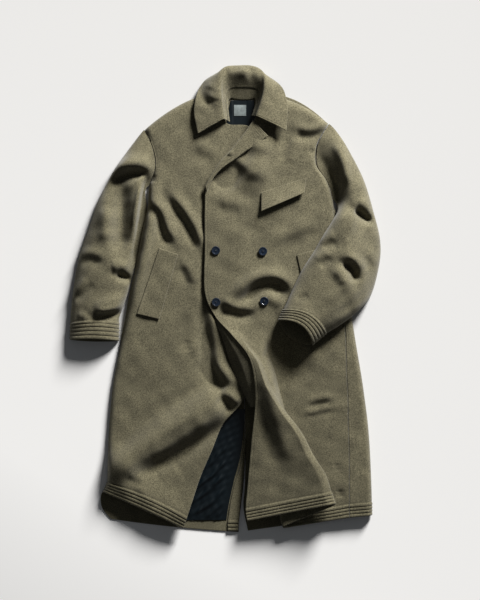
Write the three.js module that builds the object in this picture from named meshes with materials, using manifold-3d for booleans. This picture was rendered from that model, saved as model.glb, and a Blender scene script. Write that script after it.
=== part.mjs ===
// Bridge coat: a long double-breasted coat of heavy melton wool, lying flat on its back and
// half open. Millimetres, +X to the viewer's right, +Y towards the collar, +Z up from the floor.
// Right and left are the wearer's: the right front is the under panel, on the viewer's left.
import * as THREE from "three";
import Module from "manifold-3d";
import * as BufferGeometryUtils from "three/addons/utils/BufferGeometryUtils.js";

// Cloth thicknesses and the gap between neighbouring pieces
const MELTON = 2.6;
const SATIN = 1.0;
const LABEL_THICKNESS = 0.8;
const SEAM_GAP = 0.3;

// Heights over the floor of the middle of each wall
const BACK_Z = MELTON / 2;
const SIDE_SEAM_Z = 1.5 * MELTON + SEAM_GAP;
const RIGHT_FRONT_Z = 15;
const RIGHT_FRONT_TUCKED_Z = 9;
const LEFT_FRONT_Z = 22;
const LEFT_FRONT_SIDE_Z = 18;
const LAYER_STEP = MELTON + SEAM_GAP;

// How far a panel takes to round down to its side seam, and to its shoulder seam
const SIDE_ROUND = 14;
const SHOULDER_ROUND = 12;

// Quilted channels along the hem and round the cuffs
const HEM_RIBS = 4;
const CUFF_RIBS = 5;
const RIB_HEIGHT = 1.3;

// Buttons: diameter, thickness, edge, rim and the four thread holes
const BUTTON_DIAMETER = 23;
const BUTTON_THICKNESS = 3.6;
const BUTTON_BACK_EDGE = 1.2;
const BUTTON_FRONT_EDGE = 0.8;
const BUTTON_RIM = 2.6;
const BUTTON_DISH = 0.9;
const BUTTON_HOLE = 2.2;
const BUTTON_HOLE_SPACING = 4.4;
const BUTTON_SIDES = 20;
const BUTTON_SHANK = 0.3;

const FINISHES = {
  wool: new THREE.MeshStandardMaterial({ color: 0x6f6b52, roughness: 0.95, metalness: 0 }),
  satin: new THREE.MeshStandardMaterial({ color: 0x17202a, roughness: 0.4, metalness: 0 }),
  horn: new THREE.MeshStandardMaterial({ color: 0x10131a, roughness: 0.25, metalness: 0 }),
  label: new THREE.MeshStandardMaterial({ color: 0x8f989a, roughness: 0.8, metalness: 0 }),
};

const coat = new THREE.Group();

// Small numeric helpers
const mix = (a, b, share) => a + (b - a) * share;
const clamp = (value, low, high) => Math.min(Math.max(value, low), high);
const smooth = (share) => {
  const s = clamp(share, 0, 1);
  return s * s * (3 - 2 * s);
};
const quarterRound = (share) => Math.sqrt(1 - (1 - clamp(share, 0, 1)) ** 2);

// A table with named columns; at(place) gives every column on a smooth curve through its rows.
function sections(names, rows) {
  const column = (k) => rows.map((row) => row[k]);
  const columns = names.map((name, k) => [name, column(k)]);
  const last = rows.length - 1;
  const at = (place) => {
    const k = clamp(Math.floor(place), 0, last - 1);
    const f = place - k;
    const section = {};
    for (const [name, values] of columns) {
      const b = values[k];
      const c = values[k + 1];
      const a = k > 0 ? values[k - 1] : 2 * b - c;
      const d = k + 2 <= last ? values[k + 2] : 2 * c - b;
      const slope = (c - a) / 2;
      const bend = a - 2.5 * b + 2 * c - 0.5 * d;
      const twist = (d - a) / 2 + 1.5 * (b - c);
      section[name] = b + f * (slope + f * (bend + f * twist));
    }
    return section;
  };
  return { at, last };
}

// Soft ridges (+) and troughs (-) along a path, shared by every piece that lies on a panel.
function foldHeight(folds, x, y) {
  let height = 0;
  for (const fold of folds) {
    let nearest = Infinity;
    for (let k = 0; k + 1 < fold.path.length; k += 1) {
      const [ax, ay] = fold.path[k];
      const [bx, by] = fold.path[k + 1];
      const along = ((x - ax) * (bx - ax) + (y - ay) * (by - ay)) / ((bx - ax) ** 2 + (by - ay) ** 2);
      const t = clamp(along, 0, 1);
      nearest = Math.min(nearest, Math.hypot(x - mix(ax, bx, t), y - mix(ay, by, t)));
    }
    height += fold.rise * Math.exp(-((nearest / fold.reach) ** 2));
  }
  return height;
}

// Largest folds of the right front: the ridge that runs to the hem corner, the valley above it,
// the lifted hem mouth and the lifted front edge.
const RIGHT_FRONT_FOLDS = [
  { rise: 24, reach: 42, path: [[-32, -268], [-83, -297], [-155, -337], [-219, -383], [-262, -425]] },
  { rise: -7, reach: 26, path: [[-60, -235], [-130, -275], [-205, -325], [-262, -375]] },
  { rise: 17, reach: 55, path: [[-270, -470], [-215, -520], [-150, -560]] },
  { rise: 8, reach: 40, path: [[-20, -380], [-62, -470], [-90, -560]] },
];

// Largest folds of the left front: the hollow beside the lapel and the bulge under the buttons.
const LEFT_FRONT_FOLDS = [
  { rise: -7, reach: 34, path: [[4, 335], [26, 305], [48, 288]] },
  { rise: 5, reach: 45, path: [[95, 330], [120, 250]] },
  { rise: 5, reach: 30, path: [[120, 10], [152, -12]] },
];

// Millimetres that a point of the right front lies under the left front's edge: the lapel's fold
// line above, the straight free edge below.
const LAPEL_FOLD = { x: -46, y: 303, alongX: 124, alongY: 170 };
const LEFT_EDGE_X = -52;

// The right front is pressed down from this far before the over panel, over this distance, and
// only above the place where the left front lifts off it.
const TUCK_AHEAD = 22;
const TUCK_EASE = 30;
const TUCK_BELOW_Y = -215;
const TUCK_BELOW_EASE = 60;

function underLeftFront(x, y) {
  const { alongX, alongY } = LAPEL_FOLD;
  const beside = ((x - LAPEL_FOLD.x) * alongY - (y - LAPEL_FOLD.y) * alongX) / Math.hypot(alongX, alongY);
  return Math.min(x - LEFT_EDGE_X, beside);
}

const rightFrontZ = (x, y) => {
  const beside = smooth((underLeftFront(x, y) + TUCK_AHEAD) / TUCK_EASE);
  const tucked = beside * smooth((y - TUCK_BELOW_Y) / TUCK_BELOW_EASE);
  return mix(RIGHT_FRONT_Z, RIGHT_FRONT_TUCKED_Z, tucked) + foldHeight(RIGHT_FRONT_FOLDS, x, y);
};

// The left front sinks from the lapped part towards its side over this stretch.
const LEFT_LAP_X = 80;
const LEFT_LAP_EASE = 70;
const leftFrontZ = (x, y) => {
  const beside = smooth((x - LEFT_LAP_X) / LEFT_LAP_EASE);
  return mix(LEFT_FRONT_Z, LEFT_FRONT_SIDE_Z, beside) + foldHeight(LEFT_FRONT_FOLDS, x, y);
};

// Sections of the right side, from the shoulder to the hem: the outer edge (armhole, then side
// seam), the hidden or free front edge, the section's bow towards the collar, and how high the
// outer edge stands between the side seam (0) and the full panel (1).
const RIGHT = sections(
  ["sideX", "sideY", "frontX", "frontY", "bow", "lift"],
  [
    [-210, 449, -7, 550, 20, 0],
    [-195, 420, -1, 507, 8, 0.75],
    [-183, 380, 7, 465, 2, 0.9],
    [-182, 343, 68, 456, 0, 0.75],
    [-197, 301, 115, 396, 0, 0],
    [-203, 240, 131, 277, 0, 0],
    [-216, 182, 131, 158, 0, 0],
    [-232, 97, 131, 38, 0, 0],
    [-253, 4, 126, -68, 0, 0],
    [-269, -94, 99, -166, 0, 0],
    [-292, -213, 46, -271, 0, 0],
    [-301, -290, -3, -328, 0, 0],
    [-306, -360, -34, -400, 0, 0],
    [-308, -420, -62, -465, 0, 0],
    [-309, -460, -84, -530, 5, 0],
    [-310, -483, -98, -573, 9, 0],
    [-320, -509, -109, -604, 3, 0],
  ],
);

// Sections of the left side, from the shoulder to the hem. front, crest, turn and seam are four
// points across each section: the free edge, the top of the large fold, its inner turn, and the
// armhole or side seam. edge is the silhouette of the body past the seam. The rises are heights
// over the ordinary panel, and lift is how high the seam edge stands.
const LEFT = sections(
  ["frontX", "frontY", "crestX", "crestY", "turnX", "turnY", "seamX", "seamY", "edgeX", "edgeY",
    "frontRise", "crestRise", "turnRise", "lift"],
  [
    [110, 545, 168, 528, 220, 505, 274, 465, 274, 465, 0, 0, 0, 0],
    [78, 473, 136, 467, 195, 456, 253, 431, 253, 431, 0, 0, 0, 0.75],
    [60, 447, 121, 436, 179, 423, 241, 401, 241, 401, 0, 0, 0, 0.9],
    [36, 415, 99, 399, 168, 383, 242, 354, 242, 354, 0, 0, 0, 0.75],
    [-7, 362, 68, 351, 158, 338, 269, 314, 269, 314, 0, 0, 0, 0.4],
    [-46, 303, 41, 295, 152, 285, 285, 265, 285, 265, 0, 0, 0, 0],
    [-52, 237, 41, 232, 152, 221, 290, 205, 298, 205, 0, 0, 0, 0.6],
    [-52, 131, 41, 129, 147, 123, 301, 113, 312, 113, 0, 0, 0, 0.9],
    [-52, 20, 30, 17, 126, 15, 311, 15, 325, 15, 0, 0, 0, 1],
    [-25, -44, 41, -68, 99, -81, 318, -68, 338, -62, 1.6, 1.6, 0, 1],
    [19, -93, 72, -126, 126, -138, 321, -134, 349, -130, 18, 21, -3, 1],
    [65, -152, 108, -171, 147, -190, 323, -200, 361, -200, 31, 36, -6, 1],
    [80, -227, 148, -224, 166, -247, 326, -262, 370, -262, 36, 42, -7, 1],
    [80, -288, 186, -285, 174, -306, 327, -325, 378, -325, 28, 44, -7, 1],
    [73, -355, 219, -345, 176, -374, 329, -385, 383, -385, 17, 42, -7, 1],
    [67, -423, 245, -405, 172, -442, 330, -445, 386, -445, 11, 40, -7, 1],
    [61, -490, 262, -458, 163, -512, 330, -500, 388, -498, 8, 38, -7, 1],
    [56, -551, 276, -505, 152, -572, 330, -541, 389, -536, 7, 37, -6, 1],
    [60, -584, 287, -537, 160, -604, 330, -576, 389, -571, 7, 37, -5, 1],
  ],
);

// Places of the rows: the armhole rows are shared by the fronts, the backs and the sleeve heads.
const ARMHOLE_STEPS = [0, 0.02, 0.07, 0.16, 0.3, 0.5, 0.7, 0.84, 0.93, 0.98, 1];
const RIGHT_ARMPIT = 4;
const LEFT_ARMPIT = 5;
const rightArmholePlaces = ARMHOLE_STEPS.map((step) => step * RIGHT_ARMPIT);
const leftArmholePlaces = ARMHOLE_STEPS.map((step) => step * LEFT_ARMPIT);

// Even places from one row to another, without the first.
const steps = (from, to, count) => {
  const places = [];
  for (let k = 1; k <= count; k += 1) {
    places.push(mix(from, to, k / count));
  }
  return places;
};

// Half a rib per row across a band that fills the last section before the edge.
const ribbed = (from, to, ribs) => steps(from, to, 2 * ribs);

// A closed wall round a grid of points: rows run down, columns run right, and the outer face is
// on the side of the normal. relief(row, column) raises the outer face.
function wall(name, grid, thickness, finish, relief = () => 0) {
  const rows = grid.length;
  const columns = grid[0].length;
  const positions = [];
  const place = (r, c) => grid[clamp(r, 0, rows - 1)][clamp(c, 0, columns - 1)];
  const outer = [];
  const inner = [];
  const across = new THREE.Vector3();
  const down = new THREE.Vector3();
  for (let r = 0; r < rows; r += 1) {
    for (let c = 0; c < columns; c += 1) {
      across.subVectors(place(r, c + 1), place(r, c - 1));
      down.subVectors(place(r + 1, c), place(r - 1, c));
      const normal = new THREE.Vector3().crossVectors(down, across).normalize();
      outer.push(grid[r][c].clone().addScaledVector(normal, thickness / 2 + relief(r, c)));
      inner.push(grid[r][c].clone().addScaledVector(normal, -thickness / 2));
    }
  }
  for (const point of [...outer, ...inner]) {
    positions.push(point.x, point.y, point.z);
  }
  const out = (r, c) => r * columns + c;
  const into = (r, c) => rows * columns + r * columns + c;
  const faces = [];
  for (let r = 0; r + 1 < rows; r += 1) {
    for (let c = 0; c + 1 < columns; c += 1) {
      faces.push(out(r, c), out(r + 1, c), out(r + 1, c + 1));
      faces.push(out(r, c), out(r + 1, c + 1), out(r, c + 1));
      faces.push(into(r, c), into(r + 1, c + 1), into(r + 1, c));
      faces.push(into(r, c), into(r, c + 1), into(r + 1, c + 1));
    }
  }
  const rim = [];
  for (let r = 0; r + 1 < rows; r += 1) {
    rim.push([r, 0, r + 1, 0]);
    rim.push([r + 1, columns - 1, r, columns - 1]);
  }
  for (let c = 0; c + 1 < columns; c += 1) {
    rim.push([rows - 1, c, rows - 1, c + 1]);
    rim.push([0, c + 1, 0, c]);
  }
  for (const [r0, c0, r1, c1] of rim) {
    faces.push(out(r1, c1), out(r0, c0), into(r0, c0));
    faces.push(out(r1, c1), into(r0, c0), into(r1, c1));
  }
  const geometry = new THREE.BufferGeometry();
  geometry.setAttribute("position", new THREE.Float32BufferAttribute(positions, 3));
  geometry.setIndex(faces);
  geometry.computeVertexNormals();
  addMesh(name, geometry, finish);
}

function addMesh(name, geometry, finish) {
  const mesh = new THREE.Mesh(geometry, FINISHES[finish].clone());
  mesh.name = name;
  coat.add(mesh);
}

// Relief of the quilted channels on the rows from the first row of the band on.
const ribRelief = (firstRow) => (row) => (row > firstRow && (row - firstRow) % 2 === 1 ? RIB_HEIGHT : 0);

const point = (x, y, z) => new THREE.Vector3(x, y, z);

// Columns of the right front past its rounded side
const RIGHT_COLUMNS = 12;

// Distances from the rounded side edge of a panel's first columns; the rest are even.
const EDGE_DISTANCES = [0, 2.2, 6.5, 14];
function columnShares(width, inner) {
  const shares = EDGE_DISTANCES.map((distance) => distance / width);
  const start = shares[shares.length - 1];
  for (let k = 1; k <= inner; k += 1) {
    shares.push(mix(start, 1, k / inner));
  }
  return shares;
}

// Millimetres from the shoulder seam per place in the table, near the shoulder.
const SHOULDER_PLACE = 34;

function frontRight() {
  const band = ribbed(RIGHT.last - 1, RIGHT.last, HEM_RIBS);
  const places = [...rightArmholePlaces, ...steps(RIGHT_ARMPIT, RIGHT.last - 1, 18), ...band];
  const grid = places.map((p) => {
    const s = RIGHT.at(p);
    const width = Math.hypot(s.frontX - s.sideX, s.frontY - s.sideY);
    return columnShares(width, RIGHT_COLUMNS).map((u) => {
      const x = mix(s.sideX, s.frontX, u);
      const y = mix(s.sideY, s.frontY, u) + s.bow * 4 * u * (1 - u);
      const side = mix(clamp(s.lift, 0, 1), 1, quarterRound((u * width) / SIDE_ROUND));
      const shoulder = quarterRound((p * SHOULDER_PLACE) / SHOULDER_ROUND);
      const z = mix(SIDE_SEAM_Z, rightFrontZ(x, y), side * shoulder);
      return point(x, y, z);
    });
  });
  wall("front_right", grid, MELTON, "wool", ribRelief(places.length - band.length - 1));
}

// One section of the left front: flat from the free edge to the fold, an S-shaped turn through
// crest and inner turn, and flat on to the seam. Past the crest the cloth doubles back under it.
const FOLD_EASE = 16;
const FRONT_COLUMNS = 6;
const FOLD_STEPS = [0, 0.06, 0.12, 0.18, 0.25, 0.36, 0.5, 0.64, 0.75, 0.82, 0.88, 0.94, 1];
const FOLD_ROUNDNESS = 0.1;
// Steps of the inner turn, where the channels are pressed flat
const FOLD_TURN_FROM = 7;
const FOLD_TURN_TO = 11;
const BESIDE_COLUMNS = 5;
function leftSection(place) {
  const s = LEFT.at(place);
  const front = new THREE.Vector2(s.frontX, s.frontY);
  const crest = new THREE.Vector2(s.crestX, s.crestY);
  const turn = new THREE.Vector2(s.turnX, s.turnY);
  const seam = new THREE.Vector2(s.seamX, s.seamY);
  const toCrest = crest.clone().sub(front).normalize();
  const toSeam = seam.clone().sub(turn).normalize();
  const overlap = s.crestX - s.turnX;
  const reach = mix(-FOLD_EASE / 3 - overlap / 3, 20 + overlap / 2, smooth((overlap + 20) / 45));
  const knots = [
    crest.clone().addScaledVector(toCrest, -FOLD_EASE),
    crest.clone().addScaledVector(toCrest, reach),
    turn.clone().addScaledVector(toSeam, -reach),
    turn.clone().addScaledVector(toSeam, FOLD_EASE),
  ];
  const flat = [];
  for (let k = 0; k < FRONT_COLUMNS; k += 1) {
    const share = k / FRONT_COLUMNS;
    const xy = front.clone().lerp(knots[0], share);
    flat.push({ xy, rise: mix(s.frontRise, s.crestRise, share) });
  }
  for (const t of FOLD_STEPS) {
    const xy = new THREE.Vector2();
    const weights = [(1 - t) ** 3, 3 * t * (1 - t) ** 2, 3 * t * t * (1 - t), t ** 3];
    weights.forEach((weight, n) => xy.addScaledVector(knots[n], weight));
    const sunk = t + FOLD_ROUNDNESS * Math.sin(2 * Math.PI * t);
    flat.push({ xy, rise: mix(s.crestRise, s.turnRise, sunk) });
  }
  for (let k = 1; k <= BESIDE_COLUMNS; k += 1) {
    const share = 1 - (1 - k / BESIDE_COLUMNS) ** 1.4;
    const xy = knots[3].clone().lerp(seam, share);
    flat.push({ xy, rise: mix(s.turnRise, 0, share) });
  }
  return { section: s, flat, seam };
}

function frontLeft() {
  const band = ribbed(LEFT.last - 1, LEFT.last, HEM_RIBS);
  const places = [...leftArmholePlaces, ...steps(LEFT_ARMPIT, LEFT.last - 1, 15), ...band];
  const grid = places.map((p) => {
    const { section, flat, seam } = leftSection(p);
    return flat.map(({ xy, rise }) => {
      const fromSeam = xy.distanceTo(seam);
      const side = mix(clamp(section.lift, 0, 1), 1, quarterRound(fromSeam / SIDE_ROUND));
      const shoulder = quarterRound((p * SHOULDER_PLACE) / SHOULDER_ROUND);
      const full = leftFrontZ(xy.x, xy.y) + rise;
      return point(xy.x, xy.y, mix(SIDE_SEAM_Z, full, side * shoulder));
    });
  });
  const ribs = ribRelief(places.length - band.length - 1);
  const inTurn = (column) => {
    const step = column - FRONT_COLUMNS;
    return step >= FOLD_TURN_FROM && step <= FOLD_TURN_TO;
  };
  wall("front_left", grid, MELTON, "wool", (row, column) => (inTurn(column) ? 0 : ribs(row)));
}

// The back's left half shows as a strip that wraps round the side up to the side seam.
const SEAM_PLAN_GAP = 0.6;
function backLeftWrap() {
  const band = ribbed(LEFT.last - 1, LEFT.last, HEM_RIBS);
  const places = [LEFT_ARMPIT + 0.5, ...steps(LEFT_ARMPIT + 0.5, LEFT.last - 1, 12), ...band];
  const shares = [0, 0.3, 0.55, 0.75, 0.9, 1];
  const grid = places.map((p) => {
    const s = LEFT.at(p);
    const width = s.edgeX - s.seamX;
    return shares.map((u) => {
      const x = mix(s.seamX + SEAM_PLAN_GAP, s.edgeX, u);
      const y = mix(s.seamY, s.edgeY, u);
      const side = quarterRound(((1 - u) * width) / Math.min(width, SIDE_ROUND));
      return point(x, y, mix(SIDE_SEAM_Z, leftFrontZ(x, y), side * clamp(s.lift, 0, 1)));
    });
  });
  wall("back_left_wrap", grid, MELTON, "wool", ribRelief(places.length - band.length - 1));
}

// The centre line of the back, by place of the right side's table, and the free hem's corner.
const BACK_RIGHT = sections(
  ["sideX", "sideY", "centreX", "centreY", "bow"],
  [
    [-210, 449, 49, 530, 40],
    [-182, 343, 49, 380, 0],
    [-203, 240, 49, 240, 0],
    [-253, 4, 50, 0, 0],
    [-292, -213, 52, -220, 0],
    [-308, -400, 54, -410, 0],
    [-309, -478, 50, -490, 0],
    [-327, -518, 44, -540, 0],
    [-324, -552, 39, -582, 0],
    [-302, -581, 37, -616, -4],
  ],
);
const BACK_LEFT_CENTRE = sections(
  ["x", "y"],
  [[50, 530], [50, 380], [50, 240], [51, 0], [53, -220], [55, -410], [54, -490], [50, -550], [62, -612]],
);
const BACK_COLUMNS = 6;

function backRow(side, centre, bow) {
  const row = [];
  for (let k = 0; k <= BACK_COLUMNS; k += 1) {
    const u = k / BACK_COLUMNS;
    row.push(point(mix(side.x, centre.x, u), mix(side.y, centre.y, u) + bow * 4 * u * (1 - u), BACK_Z));
  }
  return row;
}

function backRight() {
  const shoulder = BACK_RIGHT.at(0);
  const armhole = rightArmholePlaces.map((p) => {
    const s = RIGHT.at(p);
    const down = p / RIGHT_ARMPIT;
    const centre = point(shoulder.centreX, mix(shoulder.centreY, 300, down), BACK_Z);
    return backRow(point(s.sideX, s.sideY, BACK_Z), centre, shoulder.bow * (1 - smooth(down * 2)));
  });
  const below = steps(2, BACK_RIGHT.last, 12).map((p) => {
    const s = BACK_RIGHT.at(p);
    return backRow(point(s.sideX, s.sideY, BACK_Z), point(s.centreX, s.centreY, BACK_Z), s.bow);
  });
  wall("back_right", [...armhole, ...below], MELTON, "wool");
}

function backLeft() {
  const armhole = leftArmholePlaces.map((p) => {
    const s = LEFT.at(p);
    const down = p / LEFT_ARMPIT;
    const centre = point(BACK_LEFT_CENTRE.at(0).x, mix(530, 265, down), BACK_Z);
    return backRow(point(s.seamX, s.seamY, BACK_Z), centre, 40 * (1 - smooth(down * 2))).reverse();
  });
  const below = steps(0, 1, 10).map((share) => {
    const s = LEFT.at(mix(LEFT_ARMPIT, LEFT.last, share));
    const c = BACK_LEFT_CENTRE.at(mix(1.8, BACK_LEFT_CENTRE.last, share));
    return backRow(point(s.edgeX, s.edgeY + 4 * share, BACK_Z), point(c.x, c.y, BACK_Z), 0).reverse();
  });
  wall("back_left", [...armhole, ...below], MELTON, "wool");
}

// Sleeves: the outer and inner edge of each section from the armhole to the cuff, the height of
// the top half, and how far the middle of the top and under half bows back from the straight
// section, towards the shoulder. The last section interval is the quilted cuff.
const SLEEVE_COLUMNS = ["outerX", "outerY", "innerX", "innerY", "height", "topBow", "underBow"];
const SLEEVE_RIGHT = sections(SLEEVE_COLUMNS, [
  [-210, 449, -197, 301, 12, 0, 0],
  [-240, 414, -215, 288, 20, 0, 0],
  [-283, 354, -221, 248, 28, 0, 0],
  [-309, 309, -224, 219, 32, 0, 0],
  [-335, 256, -228, 189, 34, 0, 0],
  [-356, 195, -236, 142, 34, 0, 0],
  [-379, 129, -245, 99, 34, 0, 0],
  [-392, 73, -254, 54, 34, 0, 0],
  [-401, 15, -262, 9, 34, 0, 0],
  [-406, -40, -277, -40, 32, 4, 0],
  [-407, -62, -280, -60, 32, 6, 0],
  [-408, -107, -281, -110, 32, 4, -3],
]);
const SLEEVE_LEFT = sections(SLEEVE_COLUMNS, [
  [274, 465, 285, 265, 12, 0, 0],
  [300, 441, 293, 259, 20, 0, 0],
  [327, 396, 299, 247, 30, 0, 0],
  [367, 317, 297, 228, 34, 0, 0],
  [394, 229, 283, 203, 36, 0, 0],
  [411, 155, 258, 163, 36, 0, 0],
  [408, 89, 235, 123, 36, 0, 0],
  [384, 7, 205, 76, 36, 0, 0],
  [338, -41, 179, 23, 36, 6, 0],
  [296, -72, 163, -12, 38, 16, 0],
  [270, -88, 156, -26, 40, 22, 0],
  [231, -120, 142, -56, 42, 24, -18],
]);
// The halves part by this at both edges, measured from the under half a step further down.
const SLEEVE_EDGE_LIFT = 1.0;
const SLEEVE_SPLIT = MELTON / 2 + SEAM_GAP + SLEEVE_EDGE_LIFT;
const SPLIT_STEP = 4;
const ARMHOLE_GAP = 2.5;
const SLEEVE_FULLNESS = 2.6;
const sleeveProfile = (u) => Math.sqrt(Math.max(1 - Math.abs(2 * u - 1) ** SLEEVE_FULLNESS, 0));

// The left forearm lies over the body: its under half climbs from the floor on to the front.
const BODY_EDGE_X = 325;
const BODY_EDGE_LEAN = 0.145;
const BODY_EDGE_Y = 15;
const BODY_EDGE_CLIMB = 80;
const BODY_EDGE_SHORT = 8;
const ELBOW_Y = 258;
const ELBOW_EASE = 56;
const FOREARM_CLEARANCE = 6.4;
const leftUnderZ = (x, y) => {
  const edge = BODY_EDGE_X - BODY_EDGE_LEAN * (y - BODY_EDGE_Y);
  const inward = smooth((edge + BODY_EDGE_CLIMB - x) / (BODY_EDGE_CLIMB - BODY_EDGE_SHORT));
  const over = inward * smooth((ELBOW_Y - y) / ELBOW_EASE);
  return mix(BACK_Z, leftFrontZ(x, y) + FOREARM_CLEARANCE, over);
};

// One row of sleeve points; the first rows ease from the armhole's own curve to straight sections.
function sleeveRow(table, place, armholePoint, underZ, half, side) {
  const s = table.at(place);
  const away = point(s.innerY - s.outerY, s.outerX - s.innerX, 0).normalize().multiplyScalar(side);
  const bow = half === "top" ? s.topBow : s.underBow;
  return ARMHOLE_STEPS.map((u) => {
    const head = armholePoint(u);
    const straightX = mix(s.outerX, s.innerX, u) + away.x * bow * 4 * u * (1 - u);
    const straightY = mix(s.outerY, s.innerY, u) + away.y * bow * 4 * u * (1 - u);
    const free = smooth(place / 2);
    const x = mix(head.x, straightX, free);
    const y = mix(head.y, straightY, free);
    const low = underZ(x, y);
    if (half === "under") {
      return point(x, y, low);
    }
    const ledge = Math.max(low, underZ(x, y - SPLIT_STEP));
    const full = ledge + SLEEVE_SPLIT + s.height * sleeveProfile(u);
    return point(x, y, mix(head.z + ledge - BACK_Z, full, free));
  });
}

function sleeve(name, table, armhole, underZ, side) {
  const band = ribbed(table.last - 1, table.last, CUFF_RIBS);
  const upper = [0, 0.5, 1, 1.5, 2, ...steps(2, table.last - 2, 8), table.last - 1];
  for (const half of ["top", "under"]) {
    const places = half === "top" ? [...upper, ...band] : [...upper, table.last - 0.5, table.last];
    const grid = places.map((place) => {
      const row = sleeveRow(table, place, armhole, underZ, half, side);
      return side < 0 ? row : row.reverse();
    });
    const relief = half === "top" ? ribRelief(upper.length - 1) : undefined;
    wall(`${name}_${half}`, grid, MELTON, "wool", relief);
  }
}

// A point on an armhole, a seam's gap outside the body, at the height of the front's edge.
function armholePoint(table, armpit, names, panelZ, away) {
  return (u) => {
    const s = table.at(u * armpit);
    const x = s[names[0]];
    const y = s[names[1]];
    const z = mix(SIDE_SEAM_Z, panelZ(x, y), clamp(s.lift, 0, 1));
    return point(x + away * ARMHOLE_GAP, y, z);
  };
}

function sleeves() {
  const rightHole = armholePoint(RIGHT, RIGHT_ARMPIT, ["sideX", "sideY"], rightFrontZ, -1);
  const leftHole = armholePoint(LEFT, LEFT_ARMPIT, ["seamX", "seamY"], leftFrontZ, 1);
  sleeve("sleeve_right", SLEEVE_RIGHT, rightHole, () => BACK_Z, -1);
  sleeve("sleeve_left", SLEEVE_LEFT, leftHole, leftUnderZ, 1);
}

// Collar stations from the right wing's front end round the neck to the left wing's: neck seam,
// stand's upper seam, roll line and free edge. tuck turns the leaf from lying outside (0) to
// folded under (1) behind the neck.
const COLLAR = sections(
  ["neckX", "neckY", "neckZ", "standX", "standY", "standZ", "rollX", "rollY", "rollZ",
    "edgeX", "edgeY", "edgeZ", "tuck"],
  [
    [14, 469, 11, 9, 472, 17, 3, 474, 33, -70, 437, 28, 0],
    [10, 503, 11, 5, 505, 17, -1, 507, 35, -80, 490, 27, 0],
    [10, 524, 8, 3, 532, 15, -4, 542, 36, -76, 530, 24, 0],
    [16, 533, 6, 7, 547, 11, -7, 574, 36, -66, 560, 14, 0],
    [22, 532, 4.5, 15, 556, 9, -5, 600, 35, -44, 585, 7, 0.2],
    [32, 530, 4.3, 26, 560, 8.5, 8, 614, 33, -6, 598, 3, 0.7],
    [42, 529, 4.3, 38, 560, 8.5, 34, 617, 32, 34, 588, 1.5, 1],
    [58, 529, 4.3, 64, 560, 8.5, 68, 617, 32, 68, 588, 1.5, 1],
    [70, 530, 4.3, 78, 558, 8.5, 90, 608, 33, 98, 596, 3, 0.7],
    [78, 533, 5.5, 88, 554, 9.5, 101, 588, 36, 130, 580, 9, 0.2],
    [82, 528, 7, 93, 543, 13, 101, 562, 38, 153, 558, 20, 0],
    [82, 518, 10, 91, 526, 18, 97, 536, 39, 163, 530, 28, 0],
    [78, 503, 12, 86, 506, 20, 91, 514, 39, 167, 500, 32, 0],
    [72, 485, 12, 78, 484, 20, 84, 482, 38, 163, 444, 38, 0],
  ],
);
const COLLAR_ROWS = 26;
const COLLAR_ACROSS = 10;
const COLLAR_OVER_STAND = 1.6;

function collarSection(place) {
  const s = COLLAR.at(place);
  const tuck = clamp(s.tuck, 0, 1);
  const stand = point(s.standX, s.standY, s.standZ + COLLAR_OVER_STAND);
  const roll = point(s.rollX, s.rollY, mix(s.rollZ, 0.55 * s.rollZ, tuck));
  const edge = point(s.edgeX, s.edgeY, s.edgeZ);
  const rising = roll.clone().lerp(stand, mix(0.4, 0.3, tuck));
  rising.z = mix(mix(s.rollZ, stand.z, 0.4), s.rollZ, tuck);
  const falling = roll.clone().lerp(edge, mix(0.35, 0.45, tuck));
  falling.z = mix(mix(s.rollZ, s.edgeZ, 0.3) + 1.5, s.edgeZ + 1.5, tuck);
  const curve = new THREE.CatmullRomCurve3([stand, rising, roll, falling, edge]);
  return curve.getPoints(COLLAR_ACROSS);
}

function collar() {
  const grid = [];
  const standGrid = [];
  for (let k = 0; k <= COLLAR_ROWS; k += 1) {
    const place = (k / COLLAR_ROWS) * COLLAR.last;
    const s = COLLAR.at(place);
    grid.push(collarSection(place));
    const low = point(s.neckX, s.neckY, s.neckZ);
    const high = point(s.standX, s.standY, s.standZ);
    standGrid.push([low, low.clone().lerp(high, 0.5), high]);
  }
  wall("collar", grid, MELTON, "wool");
  wall("collar_stand", standGrid, MELTON, "wool");
}

// The over front's lapel, turned back over the chest: fold line and free edge.
const LAPEL = sections(
  ["foldX", "foldY", "freeX", "freeY"],
  [
    [78, 473, 115, 431],
    [60, 447, 92, 415],
    [41, 421, 62, 394],
    [17, 393, 30, 370],
    [-9, 363, -4, 347],
    [-32, 328, -30, 318],
    [-48, 299, -46, 283],
  ],
);
const LAPEL_LIFT = 4.4;
const LAPEL_FREE_LIFT = 6.5;
const LAPEL_SET_BACK = 2;

function lapel() {
  const places = [0, ...steps(0, LAPEL.last, 12)];
  const shares = [0, 0.12, 0.4, 0.7, 1];
  const grid = places.map((p) => {
    const s = LAPEL.at(p);
    return shares.map((u) => {
      const x = mix(s.foldX - LAPEL_SET_BACK, s.freeX, u);
      const y = mix(s.foldY, s.freeY, u);
      const lift = mix(LAPEL_LIFT - 1, LAPEL_FREE_LIFT, quarterRound(u * 3) * mix(0.6, 1, u));
      return point(x, y, LEFT_FRONT_Z + lift);
    });
  });
  wall("lapel_left", grid, MELTON, "wool");
}

// The front facing where it shows beside the lifted edge: place along the edge and its own edge.
const FACING = sections(
  ["place", "x", "y", "drop"],
  [
    [9.1, -27, -52, 3],
    [9.6, -12, -84, 9],
    [10.2, 2, -124, 19],
    [10.9, 15, -166, 29],
    [11.6, 34, -210, 31],
    [12.3, 55, -256, 25],
    [12.9, 70, -284, 13],
  ],
);
const FACING_TUCK = 18;
const FACING_TUCK_Y = 6;
const FACING_TUCK_DROP = 3;
const FACING_AIR = 1.2;

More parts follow.
